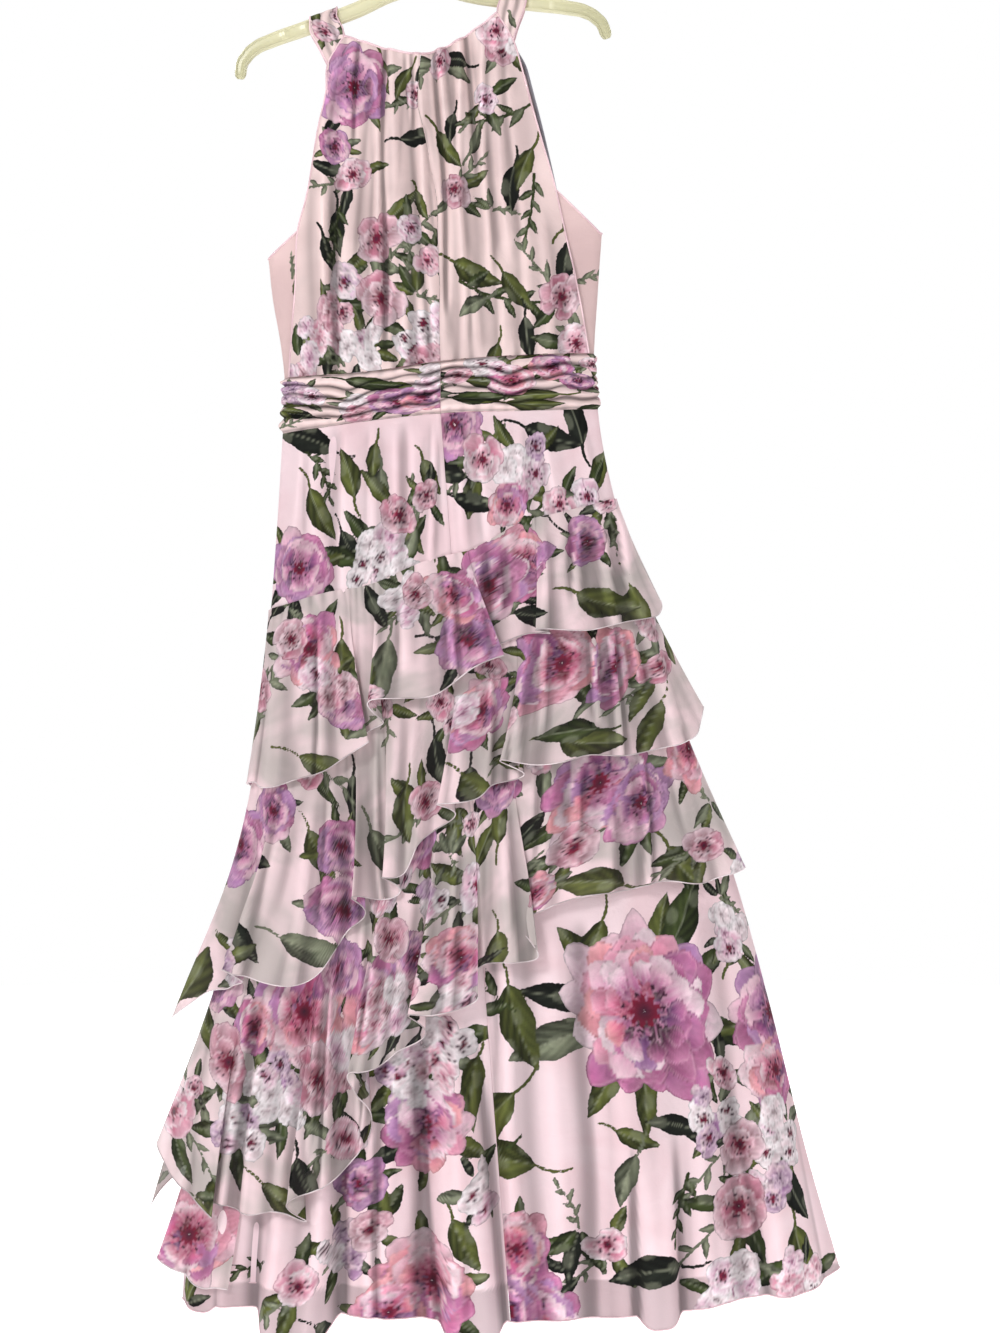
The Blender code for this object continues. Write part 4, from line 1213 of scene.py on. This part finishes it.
ARM_STATIONS = 80  # along each arm
ARM_STRAIGHT = 180  # its tip bends down beyond this
TIP_LENGTH = 0.45 * ARM_HEIGHT
CROSS_RIBS, CROSS_RIB_WIDTH = (36, 128, 152), 2.2
RIB_MIDDLE, RIB_HALF = 0.74, 0.26  # in half heights of the arm, as is the recess's edge
RECESS_EDGE = 0.62
HOOK_STATIONS, HOOK_SIDES, HOOK_SMOOTHING = 150, 20, 6


def hung(x, drop):
    """A place in the hanger's upright frame, tilted about the hook."""
    cos, sin = math.cos(HANGER_TILT), math.sin(HANGER_TILT)
    return (x * cos + drop * sin, 0.0, x * sin - drop * cos)


def arm_top(x):
    """The drop of the arm's upper edge at an x of the tilted hanger."""
    across = np.linspace(-ARM_STRAIGHT, ARM_STRAIGHT, 73)
    half = ARM_HEIGHT / 2 * arm_size(np.abs(across)) / math.cos(ARM_SLOPE)
    edge = [hung(HANGER_AXIS + a, d) for a, d in zip(across, arm_drop(np.abs(across)) - half)]
    return float(np.interp(x, [point[0] for point in edge], [-point[2] for point in edge]))


def travelled(line):
    """The distance along a line at each of its points."""
    steps = np.linalg.norm(np.diff(line, axis=0), axis=1)
    return np.concatenate([[0], np.cumsum(steps)])


def swept(name, middle, outline, material):
    """A closed bar along an upright middle line; outline gives its section at each place."""
    ahead = np.gradient(middle, axis=0)
    ahead /= np.linalg.norm(ahead, axis=1, keepdims=True)
    over = np.stack([-ahead[:, 2], np.zeros(len(ahead)), ahead[:, 0]], axis=-1)[:, None]
    through_bar = np.array([0.0, 1.0, 0.0])
    points = middle[:, None] + over * outline[..., 1:] + through_bar * outline[..., :1]
    number = np.arange(points.size // 3).reshape(outline.shape[:2])
    beside = np.roll(number, -1, axis=1)
    faces = np.stack([number[:-1], number[1:], beside[1:], beside[:-1]], axis=-1)
    ends = [number[0].tolist(), number[-1, ::-1].tolist()]
    obj = new_object(name, points, faces.reshape(-1, 4).tolist() + ends)
    obj.data.materials.append(material)
    return obj


def hanger_arms(material):
    """Two arms, each with a recess between two rounded ribs, and cross ribs in it."""
    half = np.cos(np.linspace(math.pi / 2, 0, ARM_STATIONS))
    across = np.concatenate([-np.cos(np.linspace(0, math.pi / 2, ARM_STATIONS)), half[1:]])
    across = across * HANGER_ARM["across"][-1]
    middle = np.array([hung(HANGER_AXIS + a, arm_drop(abs(a))) for a in across])
    length = travelled(middle)
    end = np.minimum(length, length[-1] - length) / TIP_LENGTH
    blunt = 0.35 + 0.65 * np.sqrt(np.clip(end * (2 - np.minimum(end, 1)), 0, 1))
    size = arm_size(np.abs(across)) * blunt
    stops = sum(np.exp(-(((np.abs(across) - at) / CROSS_RIB_WIDTH) ** 2)) for at in CROSS_RIBS)
    height = np.concatenate([np.linspace(-1, 1, 25), np.linspace(1, -1, 25)])
    face = np.repeat((1, -1), 25)
    rib = np.clip(1 - ((np.abs(height) - RIB_MIDDLE) / RIB_HALF) ** 2, 0, 1) ** 0.5
    web = 0.55 + 0.10 * np.clip(1 - np.abs(height) * 1.6, 0, 1)
    recess = web[None] + 0.35 * np.clip(stops, 0, 1)[:, None]
    deep = np.where(np.abs(height)[None] < RECESS_EDGE, recess, np.maximum(rib, 0.12)[None])
    thick = face * deep * ARM_THICK / 2 * np.minimum(blunt, 1)[:, None]
    outline = np.stack([thick, height * size[:, None] * ARM_HEIGHT / 2], axis=-1)
    return swept("hanger_arms", middle, outline, material)


def hanger_hook(material):
    """The round hook, moulded in one with the arms."""
    ring = HOOK_INSIDE + HOOK_WIRE
    route = [hung(x, drop) for x, drop in zip(*HOOK_STEM.values())]
    for angle in np.radians(np.linspace(0, HOOK_END_TURN, 60)):
        route.append(hung(ring * math.cos(angle), HOOK_INSIDE - ring * math.sin(angle)))
    route = np.array(route)
    along = travelled(route)
    even = np.linspace(0, along[-1], HOOK_STATIONS)
    route = np.stack([np.interp(even, along, route[:, axis]) for axis in range(3)], axis=-1)
    for _ in range(HOOK_SMOOTHING):
        route[1:-1] = (route[:-2] + route[1:-1] * 2 + route[2:]) / 4
    left = (even[-1] - even) / HOOK_WIRE
    round_tip = np.sqrt(np.clip(left * (2 - np.minimum(left, 1)), 0.05, 1))
    turns = np.linspace(0, 2 * math.pi, HOOK_SIDES, endpoint=False)
    circle = np.stack([-np.sin(turns), np.cos(turns)], axis=-1) * HOOK_WIRE
    return swept("hanger_hook_rod", route, circle[None] * round_tip[:, None, None], material)


def strap_grid(table, across, down):
    """A soft pleated band from the back of the bodice over the hanger's arm to the front."""
    rows = [list(row) for row in zip(*table.values())]
    for i, row in enumerate(rows):
        x, drop = (row[0] + row[2]) / 2, (row[1] + row[3]) / 2
        flat = on_body(turn_at(x, drop), drop, OVERLAY_LIFT, folded=False)[1]
        row.append(flat + (-STRAP_OVER - flat) * ease(i / (len(rows) - 1)))
    side = rows[-1]
    over = [arm_top(side[0]) - STRAP_CLEAR, arm_top(side[2]) - STRAP_CLEAR]
    for angle in STRAP_ANGLES:
        up = math.sin(math.radians(angle)) ** STRAP_SQUARE
        inner_drop = side[1] + (over[0] - side[1]) * up
        outer_drop = side[3] + (over[1] - side[3]) * up
        y = -STRAP_OVER * math.cos(math.radians(angle)) ** STRAP_SQUARE
        rows.append([side[0], inner_drop, side[2], outer_drop, y])
    rows = np.array(rows + [row[:4] + [-row[4]] for row in rows[-2::-1]])
    end = len(rows) - 1
    at_row, part = np.meshgrid(np.linspace(0, end, down), np.linspace(0, 1, across), indexing="ij")
    at = [spline(rows[:, i], at_row) for i in range(5)]
    x = at[0] + (at[2] - at[0]) * part
    drop = at[1] + (at[3] - at[1]) * part
    pleat = 1.1 * np.sin(part * 14 + 0.5 * at_row) * np.sin(np.pi * part)
    y = at[4] + np.clip(at[4] / 4, -1, 1) * pleat
    return np.stack([x, y, -drop], axis=-1)


# --- materials --------------------------------------------------------------------------


class Look:
    """A node material under construction."""

    def __init__(self, name):
        self.material = bpy.data.materials.new(name)
        self.material.use_nodes = True
        self.tree = self.material.node_tree
        self.tree.nodes.clear()

    def put(self, socket, value):
        if isinstance(value, bpy.types.NodeSocket):
            self.tree.links.new(value, socket)
        elif isinstance(value, tuple) and len(value) == 3 and socket.type == "RGBA":
            socket.default_value = (*value, 1)
        else:
            socket.default_value = value

    def add(self, kind, settings=None, **inputs):
        """A node; an input's name has _ for each space."""
        node = self.tree.nodes.new(f"ShaderNode{kind}")
        for key, value in (settings or {}).items():
            setattr(node, key, value)
        for key, value in inputs.items():
            self.put(node.inputs[key.replace("_", " ")], value)
        return node

    def attribute(self, name):
        return self.add("Attribute", {"attribute_name": name}).outputs

    def place(self):
        return self.add("TexCoord").outputs["Object"]

    def math(self, operation, a, b):
        node = self.add("Math", {"operation": operation})
        self.put(node.inputs[0], a)
        self.put(node.inputs[1], b)
        return node.outputs[0]

    def blend(self, factor, a, b, kind="MIX"):
        node = self.add("Mix", {"data_type": "RGBA", "blend_type": kind})
        self.put(node.inputs[0], factor)
        self.put(node.inputs[6], a)
        self.put(node.inputs[7], b)
        return node.outputs[2]

    def times(self, colour, factor):
        return self.blend(1.0, colour, factor, "MULTIPLY")

    def ramp(self, value, low, high, to=(0.0, 1.0)):
        settings = {"interpolation_type": "SMOOTHSTEP"}
        node = self.add("MapRange", settings, From_Min=low, From_Max=high)
        self.put(node.inputs["Value"], value)
        self.put(node.inputs["To Min"], to[0])
        self.put(node.inputs["To Max"], to[1])
        return node.outputs[0]

    def noise(self, vector, scale, detail, distortion=0.0):
        node = self.add("TexNoise", Vector=vector, Scale=scale, Detail=detail,
                        Distortion=distortion)
        return node.outputs["Fac"]

    def bump(self, strength, distance, height, **normal):
        node = self.add("Bump", Strength=strength, Distance=distance, Height=height, **normal)
        return node.outputs[0]

    def surface(self, colour, **inputs):
        return self.add("BsdfPrincipled", Base_Color=colour, **inputs)

    def mixed(self, factor, first, second):
        """Two surfaces mixed: at 0, all of it is the first."""
        node = self.add("MixShader", Fac=factor)
        self.tree.links.new(first.outputs[0], node.inputs[1])
        self.tree.links.new(second.outputs[0], node.inputs[2])
        return node

    def finish(self, surface):
        out = self.add("OutputMaterial")
        self.tree.links.new(surface.outputs[0], out.inputs["Surface"])
        return self.material


def cloth_look(name, light, deep, printed=True, sheer=0.0, through_light=0.22):
    """Crinkly chiffon: a washed ground, the print's layers, a fine crepe grain, and painted shade
    in its folds and below the lining's hem.
    """
    look = Look(name)
    plan = look.attribute("plan")["Vector"]
    wash = look.ramp(look.noise(plan, 11, 3, 0.6), 0.36, 0.66)
    colour = look.blend(wash, light, deep)
    # painted shade below the lining's hem, from the point data under
    colour = look.times(colour, look.attribute("under")["Fac"])
    if printed:
        mottle = look.noise(plan, 55, 4, 0.8)
        wobble = look.ramp(look.noise(plan, 240, 3), 0.2, 0.8, (-0.018, 0.018))
        for layer in LAYERS:
            paint = look.attribute(layer)
            edge = look.math("ADD", paint["Alpha"], wobble)
            mask = look.ramp(edge, 0.5 - 0.010, 0.5 + 0.010)
            pool = look.ramp(edge, 0.5, 0.58, (0.86, 1.0))
            shade = look.ramp(mottle, 0.3, 0.7, (0.86, 1.14))
            inked = look.times(paint["Color"], look.math("MULTIPLY", pool, shade))
            colour = look.blend(mask, colour, inked)
    grain = look.ramp(look.noise(plan, 1500, 1), 0.3, 0.7, (0.965, 1.03))
    colour = look.times(colour, grain)
    # painted shade in the folds and painted light on their crests
    colour = look.times(colour, look.attribute("fold")["Fac"])
    fine = look.bump(0.25, 0.0004, look.noise(plan, 900, 2))
    bump = look.bump(0.35, 0.0035, look.noise(plan, 42, 3, 1.2), Normal=fine)
    body = look.surface(colour, Normal=bump, Roughness=0.72, Sheen_Weight=0.05,
                        Sheen_Roughness=0.4, Specular_IOR_Level=0.2)
    glow = look.add("BsdfTranslucent", Color=colour, Normal=bump)
    surface = look.mixed(through_light, body, glow)
    if sheer:
        surface = look.mixed(sheer, surface, look.add("BsdfTransparent"))
    return look.finish(surface)


def plastic_look():
    """Pale, faintly yellow moulded plastic, with a little wear."""
    look = Look("hanger_plastic")
    place = look.place()
    cloudy = look.ramp(look.noise(place, 6, 1), 0.3, 0.7)
    colour = look.blend(cloudy, (0.58, 0.56, 0.37), (0.76, 0.73, 0.52))
    scuff = look.ramp(look.noise(place, 14, 2), 0.4, 0.7, (0.28, 0.36))
    body = look.surface(colour, Roughness=scuff)
    return look.finish(look.mixed(0.3, body, look.add("BsdfTranslucent", Color=colour)))


def steel_look():
    look = Look("hook_steel")
    place = look.place()
    tone = look.blend(look.noise(place, 900, 3), (0.42, 0.41, 0.43), (0.62, 0.60, 0.62))
    rough = look.ramp(look.noise(place, 500, 3), 0.3, 0.7, (0.26, 0.42))
    return look.finish(look.surface(tone, Roughness=rough, Metallic=1.0))


def hem_look(name, light, deep):
    """The rolled edge: the same cloth, doubled, with its close stitches."""
    look = Look(name)
    place = look.place()
    colour = look.blend(look.ramp(look.noise(place, 25, 3), 0.4, 0.6), light, deep)
    stitches = look.noise(place, 1100, 1)
    colour = look.times(colour, look.ramp(stitches, 0.3, 0.7, (0.88, 1.06)))
    bump = look.bump(0.3, 0.0004, stitches)
    return look.finish(look.surface(colour, Normal=bump, Roughness=0.7, Sheen_Weight=0.12))


# --- the dress --------------------------------------------------------------------------

UNLINED_PAINTED_SHADE = 0.36  # painted shade: how much darker the sheer skirt's ground is painted below its lining's hem
SEEDS = {  # of each print's random draws
    "bodice_back_left": 104, "bodice_back_right": 102, "bodice_front": 21,
    "side_panel_left": 31, "side_panel_right": 32,
    "waistband_back_left": 170, "waistband_back_right": 171, "waistband_front": 176,
    "skirt_back_left": 211, "skirt_back_right": 241, "skirt_front": 321,
    "lining_back": 61, "lining_front": 61,
    "flounce_1_back": 77, "flounce_2_back": 78, "flounce_3_back": 79,
    "flounce_1_front": 67, "flounce_2_front": 68, "flounce_3_front": 69, "flounce_4": 91,
    "strap_left": 95, "strap_right": 95,
}
# The print's larger motifs: kind, x and drop on the back, size and angle in degrees.
HEROES = {
    "bodice_back_left": """
        violet -50 232 46 0, violet -72 300 22 0, pink -52 332 22 30, deep -25 404 30 200,
        deep -20 470 32 160, pink 32 430 19 40, pinkcluster -80 500 36 0, cluster -40 524 30 0,
        white -62 450 22 0, dark -70 370 42 80, dark -84 400 36 60, dark 2 292 40 -10,
        olive -20 200 34 70, olive 20 350 30 60, branch -66 366 50 95
    """,
    "bodice_back_right": """
        pink 44 205 20 0, olive 42 282 42 50, dark 62 262 28 100, branch 150 250 70 165,
        branch 150 330 62 100, dark 128 320 44 95, olive 148 300 40 110, olive 60 430 52 20,
        branch 66 450 90 12, olive 116 440 44 50, dark 140 490 40 80, deep 182 466 27 90,
        sage 96 470 34 150, pale 96 248 18 0, olive 110 520 40 100
    """,
    "side_panel_left": """
        spray -120 446 22 80
    """,
    "side_panel_right": """
        branch 186 420 40 5, spray 190 448 34 10
    """,
    "waistband_back_left": """
        cluster -112 575 26 0, olive -80 580 60 170, pinkcluster -40 590 24 0, olive -30 565 50 10,
        violet -2 585 34 0, green -60 560 52 10, peony 26 580 30 0, dark -96 600 40 190
    """,
    "waistband_back_right": """
        deep 66 555 20 0, olive 70 560 56 0, green 60 580 54 -5, dark 58 575 36 170,
        rose 126 560 34 0, cluster 100 545 20 0, olive 120 585 52 0, violet 200 560 20 0,
        olive 180 575 46 170, peony 170 545 28 0
    """,
    "skirt_back_left": """
        dark -75 636 62 195, olive -26 632 34 95, olive -100 680 52 60, olive -50 690 46 250,
        dark -64 730 44 60, sage -20 660 34 80, deep 0 712 27 0, cluster -20 770 44 0,
        olive 26 650 36 60, violet -112 770 42 0, branch -104 640 50 60, spray 20 720 40 70,
        deep 30 690 18 0, olive -60 800 52 120, peony 34 1385 62 0, cluster 6 1320 40 0,
        pinkcluster 44 1300 44 0, olive 88 1310 64 100, rose 40 1556 60 0, peony -10 1590 40 0,
        deep -30 1500 24 0, cluster -60 1520 34 0, olive -20 1450 46 80, pink -110 1560 26 0,
        olive 60 1480 52 60, violet -40 1450 30 0, dark -90 1600 40 20, cluster 90 1450 30 0
    """,
    "skirt_back_right": """
        violet 62 610 36 0, dark 140 612 56 15, pink 92 650 27 0, cluster 138 656 34 0,
        dark 74 668 46 185, dark 62 690 44 10, dark 205 632 50 250, branch 160 700 60 120,
        olive 230 640 44 110, rose 120 700 26 0, pink 180 700 22 0, pale 210 690 20 0,
        peony 272 1262 100 50, olive 120 1230 78 70, branch 130 1260 90 200, olive 226 1160 60 100,
        violet 415 1265 58 0, rose 420 1330 44 0, olive 128 1350 84 130, olive 150 1430 80 185,
        green 112 1410 60 150, deep 380 1410 30 0, deep 378 1478 34 0, cluster 350 1380 34 0,
        cluster 420 1400 34 0, cluster 404 1460 30 0, dark 332 1392 44 190, olive 240 1390 40 20,
        sage 262 1420 46 110, branch 320 1440 60 100, pink 230 1516 25 0, dark 310 1540 70 170,
        peony 150 1590 48 0, rose 130 1520 44 0, olive 440 1500 60 70, cluster 370 1580 44 0,
        pinkcluster 450 1560 34 0, dark 430 1440 50 60, spray 200 1500 44 50, violet 80 1590 44 0
    """,
    "flounce_1_back": """
        rose 140 765 40 0, violet 210 740 30 0, olive 258 790 60 60, olive 200 800 62 10,
        dark 128 820 50 0, peony 100 790 50 0, violet 76 850 42 0, rose 60 800 34 0,
        olive 44 780 40 80, dark 40 850 48 5, deep 20 800 22 0, sage -10 850 60 80,
        dark -40 780 44 60, cluster 4 800 24 0, olive -64 850 50 90, rose -100 860 46 0,
        violet -66 920 30 0, deep -120 850 26 0, olive -110 980 60 20, pinkcluster -80 900 30 0
    """,
    "flounce_2_back": """
        rose 180 875 58 0, peony 240 880 44 0, deep 290 880 26 0, olive 180 960 62 0,
        olive 290 920 52 90, green 220 950 50 170, rose 90 930 40 0, dark 80 990 46 70,
        olive 70 1000 52 30, pinkcluster 60 930 30 0, dark 40 960 50 60, deep 30 1030 26 0,
        olive 10 1010 50 80, sage -30 1060 60 60, dark -50 1000 46 90, olive -100 1060 50 60,
        violet -140 1040 34 0, sage -130 1180 60 20, dark -160 1160 44 60, violet -62 1080 34 0,
        violet -58 1150 38 0
    """,
    "flounce_3_back": """
        rose -104 1262 68 0, peony -36 1256 56 0, violet -66 1215 34 0, peony 222 1010 66 0,
        violet 270 1030 46 0, deep 196 1080 30 0, rose 150 1130 26 0, olive 300 1080 56 40,
        dark 160 1040 56 100, deep 340 1080 24 0, olive 250 1120 60 180, pale 88 1120 30 0,
        olive 110 1170 50 60, rose 70 1200 36 0, violet 20 1200 34 0, deep 30 1240 26 0,
        deep -10 1180 26 0, pinkcluster -20 1260 34 0, deep -90 1335 36 0, deep -190 1320 40 0,
        rose -160 1280 34 0, cluster -130 1350 44 0, cluster -180 1390 40 0,
        pinkcluster -60 1320 36 0, pink -60 1400 26 0, dark -110 1420 48 70, olive -150 1450 56 40,
        olive -210 1440 50 120, dark -60 1370 40 60, olive -30 1390 50 90, pinkcluster 60 1250 30 0
    """,
    "flounce_4": """
        olive -200 1530 50 60, pink -190 1500 22 0
    """,
    "strap_left": """
        pink -84 168 16 0, deep -70 150 10 0
    """,
    "strap_right": """
        sage 124 150 14 60
    """,
}


def build():
    skirt_cloth = cloth_look("chiffon_skirt", (0.85, 0.68, 0.715), (0.80, 0.60, 0.635))
    bodice_cloth = cloth_look("chiffon_bodice", (0.79, 0.625, 0.61), (0.67, 0.525, 0.515))
    side_cloth = cloth_look("chiffon_side", (0.70, 0.52, 0.51), (0.64, 0.47, 0.465))
    flounce_cloth = cloth_look("chiffon_flounce", (0.50, 0.44, 0.425), (0.84, 0.645, 0.675),
                               sheer=0.05, through_light=0.2)
    lining_cloth = cloth_look("lining", (0.80, 0.62, 0.66), (0.74, 0.55, 0.60),
                              printed=False, through_light=0.15)
    light_hem = hem_look("hem_light", (0.72, 0.62, 0.64), (0.40, 0.33, 0.34))
    pink_hem = hem_look("hem_pink", (0.80, 0.58, 0.62), (0.62, 0.42, 0.46))
    # A dark grey rolled edge along the front's right armhole edge.
    grey_edge = hem_look("grey_edge", (0.30, 0.29, 0.33), (0.22, 0.21, 0.24))
    plastic, steel = plastic_look(), steel_look()

    # Hanger and neck hook
    for bar in (hanger_arms(plastic), hanger_hook(plastic)):
        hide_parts("hanger")
        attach(bar, "root")
    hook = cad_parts["neck_hook"]
    hook.data.materials.clear()
    hook.data.materials.append(steel)
    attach(hook, "root")

    # Bodice
    for edge in ("left", "right"):
        grid = bodice_half(edge, BACK, 92, 190)
        place(f"bodice_back_{edge}", grid, bodice_cloth, "gathered", "hanger",
              ("edge", grid[:, 0], 1.0, pink_hem), ("neck", grid[0], 1.3, pink_hem))
    left = bodice_half("left", FRONT, 70, 150)
    right = bodice_half("right", FRONT, 70, 150, FRONT_ARMHOLE)
    grid = np.concatenate([left[:, :-1], right[:, ::-1]], axis=1)
    place("bodice_front", grid, bodice_cloth, "gathered", "hanger",
          ("edge_left", grid[:, 0], 1.0, pink_hem),
          ("edge_right", grid[:, -1], 2.2, grey_edge),
          ("neck", grid[0], 1.3, pink_hem))
    for index, name in enumerate(("left", "right")):
        grid = side_panel(index, name)
        place(f"side_panel_{name}", grid, side_cloth, "stretched", f"bodice_back_{name}_cloth",
              ("edge", grid[0], 1.1, pink_hem), fill=False)

    # Waistband
    for name, ends, across in (("back_left", BACK_LEFT, 110), ("back_right", BACK_RIGHT, 110),
                               ("front", WHOLE_FRONT, 120)):
        grid = panel(ends, across, 70, lambda x: waist_top(x) + SEAM / 2,
                     lambda x, turn: waist_bottom(x) - SEAM, ruched, folded=False)
        place(f"waistband_{name}", grid, bodice_cloth, "gathered", "bodice_front_cloth",
              cover=1.9, squeeze=1.9, level=True)

    # Skirt and lining
    for name, ends, across, down, cover in (("back_left", BACK_LEFT, 160, 380, 0.1),
                                            ("back_right", BACK_RIGHT, 190, 380, 0.1),
                                            ("front", WHOLE_FRONT, 270, 300, 0.85)):
        grid = panel(ends, across, down, lambda x: waist_bottom(x) + SEAM / 2, hem_drop)
        # painted shade: the skirt's ground is darker below the lining's hem, kept as the point
        # data under
        below = -grid[..., 2] - lining_hem(grid[..., 0])
        place(f"skirt_{name}", grid, skirt_cloth, "hung", "waistband_front_cloth",
              ("hem", grid[-1], 0.9, pink_hem), cover=cover,
              ground=1 - UNLINED_PAINTED_SHADE * ease(below / 2 + 0.5))
    for name, ends in (("back", WHOLE_BACK), ("front", WHOLE_FRONT)):
        grid = panel(ends, 70, 70, lambda x: waist_bottom(x) + SEAM,
                     lambda x, turn: lining_hem(x), inset=lining_inset, folded=False)
        place(f"lining_{name}", grid, lining_cloth, "hung", "waistband_front_cloth",
              ("hem", grid[-1], 0.8, pink_hem), printed=False)

    # Flounces
    for number, table in enumerate((FLOUNCE_1, FLOUNCE_2, FLOUNCE_3), 1):
        for side, name, per_row, down, carrier, cover in (
                (BACK, "back", 11, 92, "skirt_back_left_cloth", 0.55),
                (FRONT, "front", 14, 60, "skirt_front_cloth", 0.9)):
            rows = flounce_rows(table, side, corner=FRONT_CORNER if number == 3 else 0.0)
            grid = flounce(rows, per_row, down, number, side)
            place(f"flounce_{number}_{name}", grid, flounce_cloth, "gathered", carrier,
                  ("hem", grid[-1], 0.7, light_hem), cover=cover)
    back = flounce_rows(FLOUNCE_4, BACK, seamed=False)
    ahead = flounce_rows(FLOUNCE_4, FRONT, seamed=False)
    rows = {name: np.concatenate([back[name], ahead[name][-2::-1]]) for name in back}
    grid = flounce(rows, 12, 44, 4, seamed=False)
    place("flounce_4", grid, flounce_cloth, "gathered", "skirt_back_left_cloth",
          ("hem", grid[-1], 0.85, light_hem))

    # Straps
    for name, table in (("left", STRAP_LEFT), ("right", STRAP_RIGHT)):
        grid = strap_grid(table, 22, 90)
        place(f"strap_{name}", grid, bodice_cloth, "folded", "hanger",
              ("inner", grid[:, 0], 0.9, pink_hem), ("outer", grid[:, -1], 0.9, pink_hem),
              fill=False)


# --- the studio, in metres --------------------------------------------------------------

FLOOR_AT, FLOOR_RADIUS, FLOOR_SIDES = (0.11, 0.0, -1.78), 5, 64
AMBIENT = 0.30
CAMERA_AT = (0.1125, -3.2, -0.88)
HALF_VIEW = 0.75  # half the height seen at the dress
SENSOR = 24.0
LIGHTS = (  # name, place, aim, size and power
    ("key", (-1.5, -3.0, 0.9), (0.1, 0, -0.85), 0.9, 74),
    ("fill", (2.0, -2.6, -0.1), (0.1, 0, -0.9), 1.5, 18),
    ("rim_left", (-1.8, 2.6, 0.8), (0.1, 0, -0.85), 1.4, 60),
    ("rim_right", (2.0, 2.4, 0.4), (0.1, 0, -0.85), 1.4, 40),
    ("top", (0.1, 0.2, 2.6), (0.1, 0, -1.7), 2.6, 60),
)


def area_light(name, at, aim, size, power):
    data = bpy.data.lights.new(name, "AREA")
    data.energy, data.size = power, size
    light = bpy.data.objects.new(name, data)
    light.location = at
    direction = np.array(aim) - np.array(at)
    yaw = math.atan2(direction[1], direction[0])
    pitch = math.atan2(-direction[2], math.hypot(direction[0], direction[1]))
    light.rotation_euler = (math.pi / 2 - pitch, 0, yaw - math.pi / 2)
    bpy.context.scene.collection.objects.link(light)


def studio_floor():
    turns = np.linspace(0, 2 * math.pi, FLOOR_SIDES, endpoint=False)
    rim = np.stack([np.cos(turns), np.sin(turns), np.zeros(FLOOR_SIDES)], axis=-1) * FLOOR_RADIUS
    points = np.concatenate([np.zeros((1, 3)), rim]) + FLOOR_AT
    faces = [(0, i, i % FLOOR_SIDES + 1) for i in range(1, FLOOR_SIDES + 1)]
    floor = new_object("floor", points / MM, faces)
    look = Look("floor_white")
    cloudy = look.noise(look.place(), 0.7, 2)
    colour = look.blend(cloudy, (0.90, 0.90, 0.90), (0.94, 0.94, 0.94))
    body = look.surface(colour, Roughness=0.9, Emission_Color=(1, 1, 1), Emission_Strength=0.72)
    floor.data.materials.append(look.finish(body))


def surround():
    """White where the camera sees it, and dimmer as a light."""
    world = bpy.data.worlds.new("studio")
    world.use_nodes = True
    tree = world.node_tree
    backdrop, output = tree.nodes["Background"], tree.nodes["World Output"]
    backdrop.inputs["Color"].default_value = (1, 1, 1, 1)
    ambient = tree.nodes.new("ShaderNodeBackground")
    ambient.inputs["Color"].default_value = (1, 1, 1, 1)
    ambient.inputs["Strength"].default_value = AMBIENT
    seen = tree.nodes.new("ShaderNodeLightPath")
    choose = tree.nodes.new("ShaderNodeMixShader")
    tree.links.new(seen.outputs["Is Camera Ray"], choose.inputs[0])
    tree.links.new(ambient.outputs[0], choose.inputs[1])
    tree.links.new(backdrop.outputs[0], choose.inputs[2])
    tree.links.new(choose.outputs[0], output.inputs["Surface"])
    bpy.context.scene.world = world


def level_camera():
    data = bpy.data.cameras.new("camera")
    data.sensor_fit = "VERTICAL"
    data.sensor_height = SENSOR
    data.lens = SENSOR / 2 / (HALF_VIEW / -CAMERA_AT[1])
    camera = bpy.data.objects.new("camera", data)
    camera.location = CAMERA_AT
    camera.rotation_euler = (math.pi / 2, 0, 0)
    bpy.context.scene.collection.objects.link(camera)
    bpy.context.scene.camera = camera


build()
studio_floor()
surround()
for light in LIGHTS:
    area_light(*light)
bpy.context.scene.view_settings.view_transform = "Standard"
level_camera()
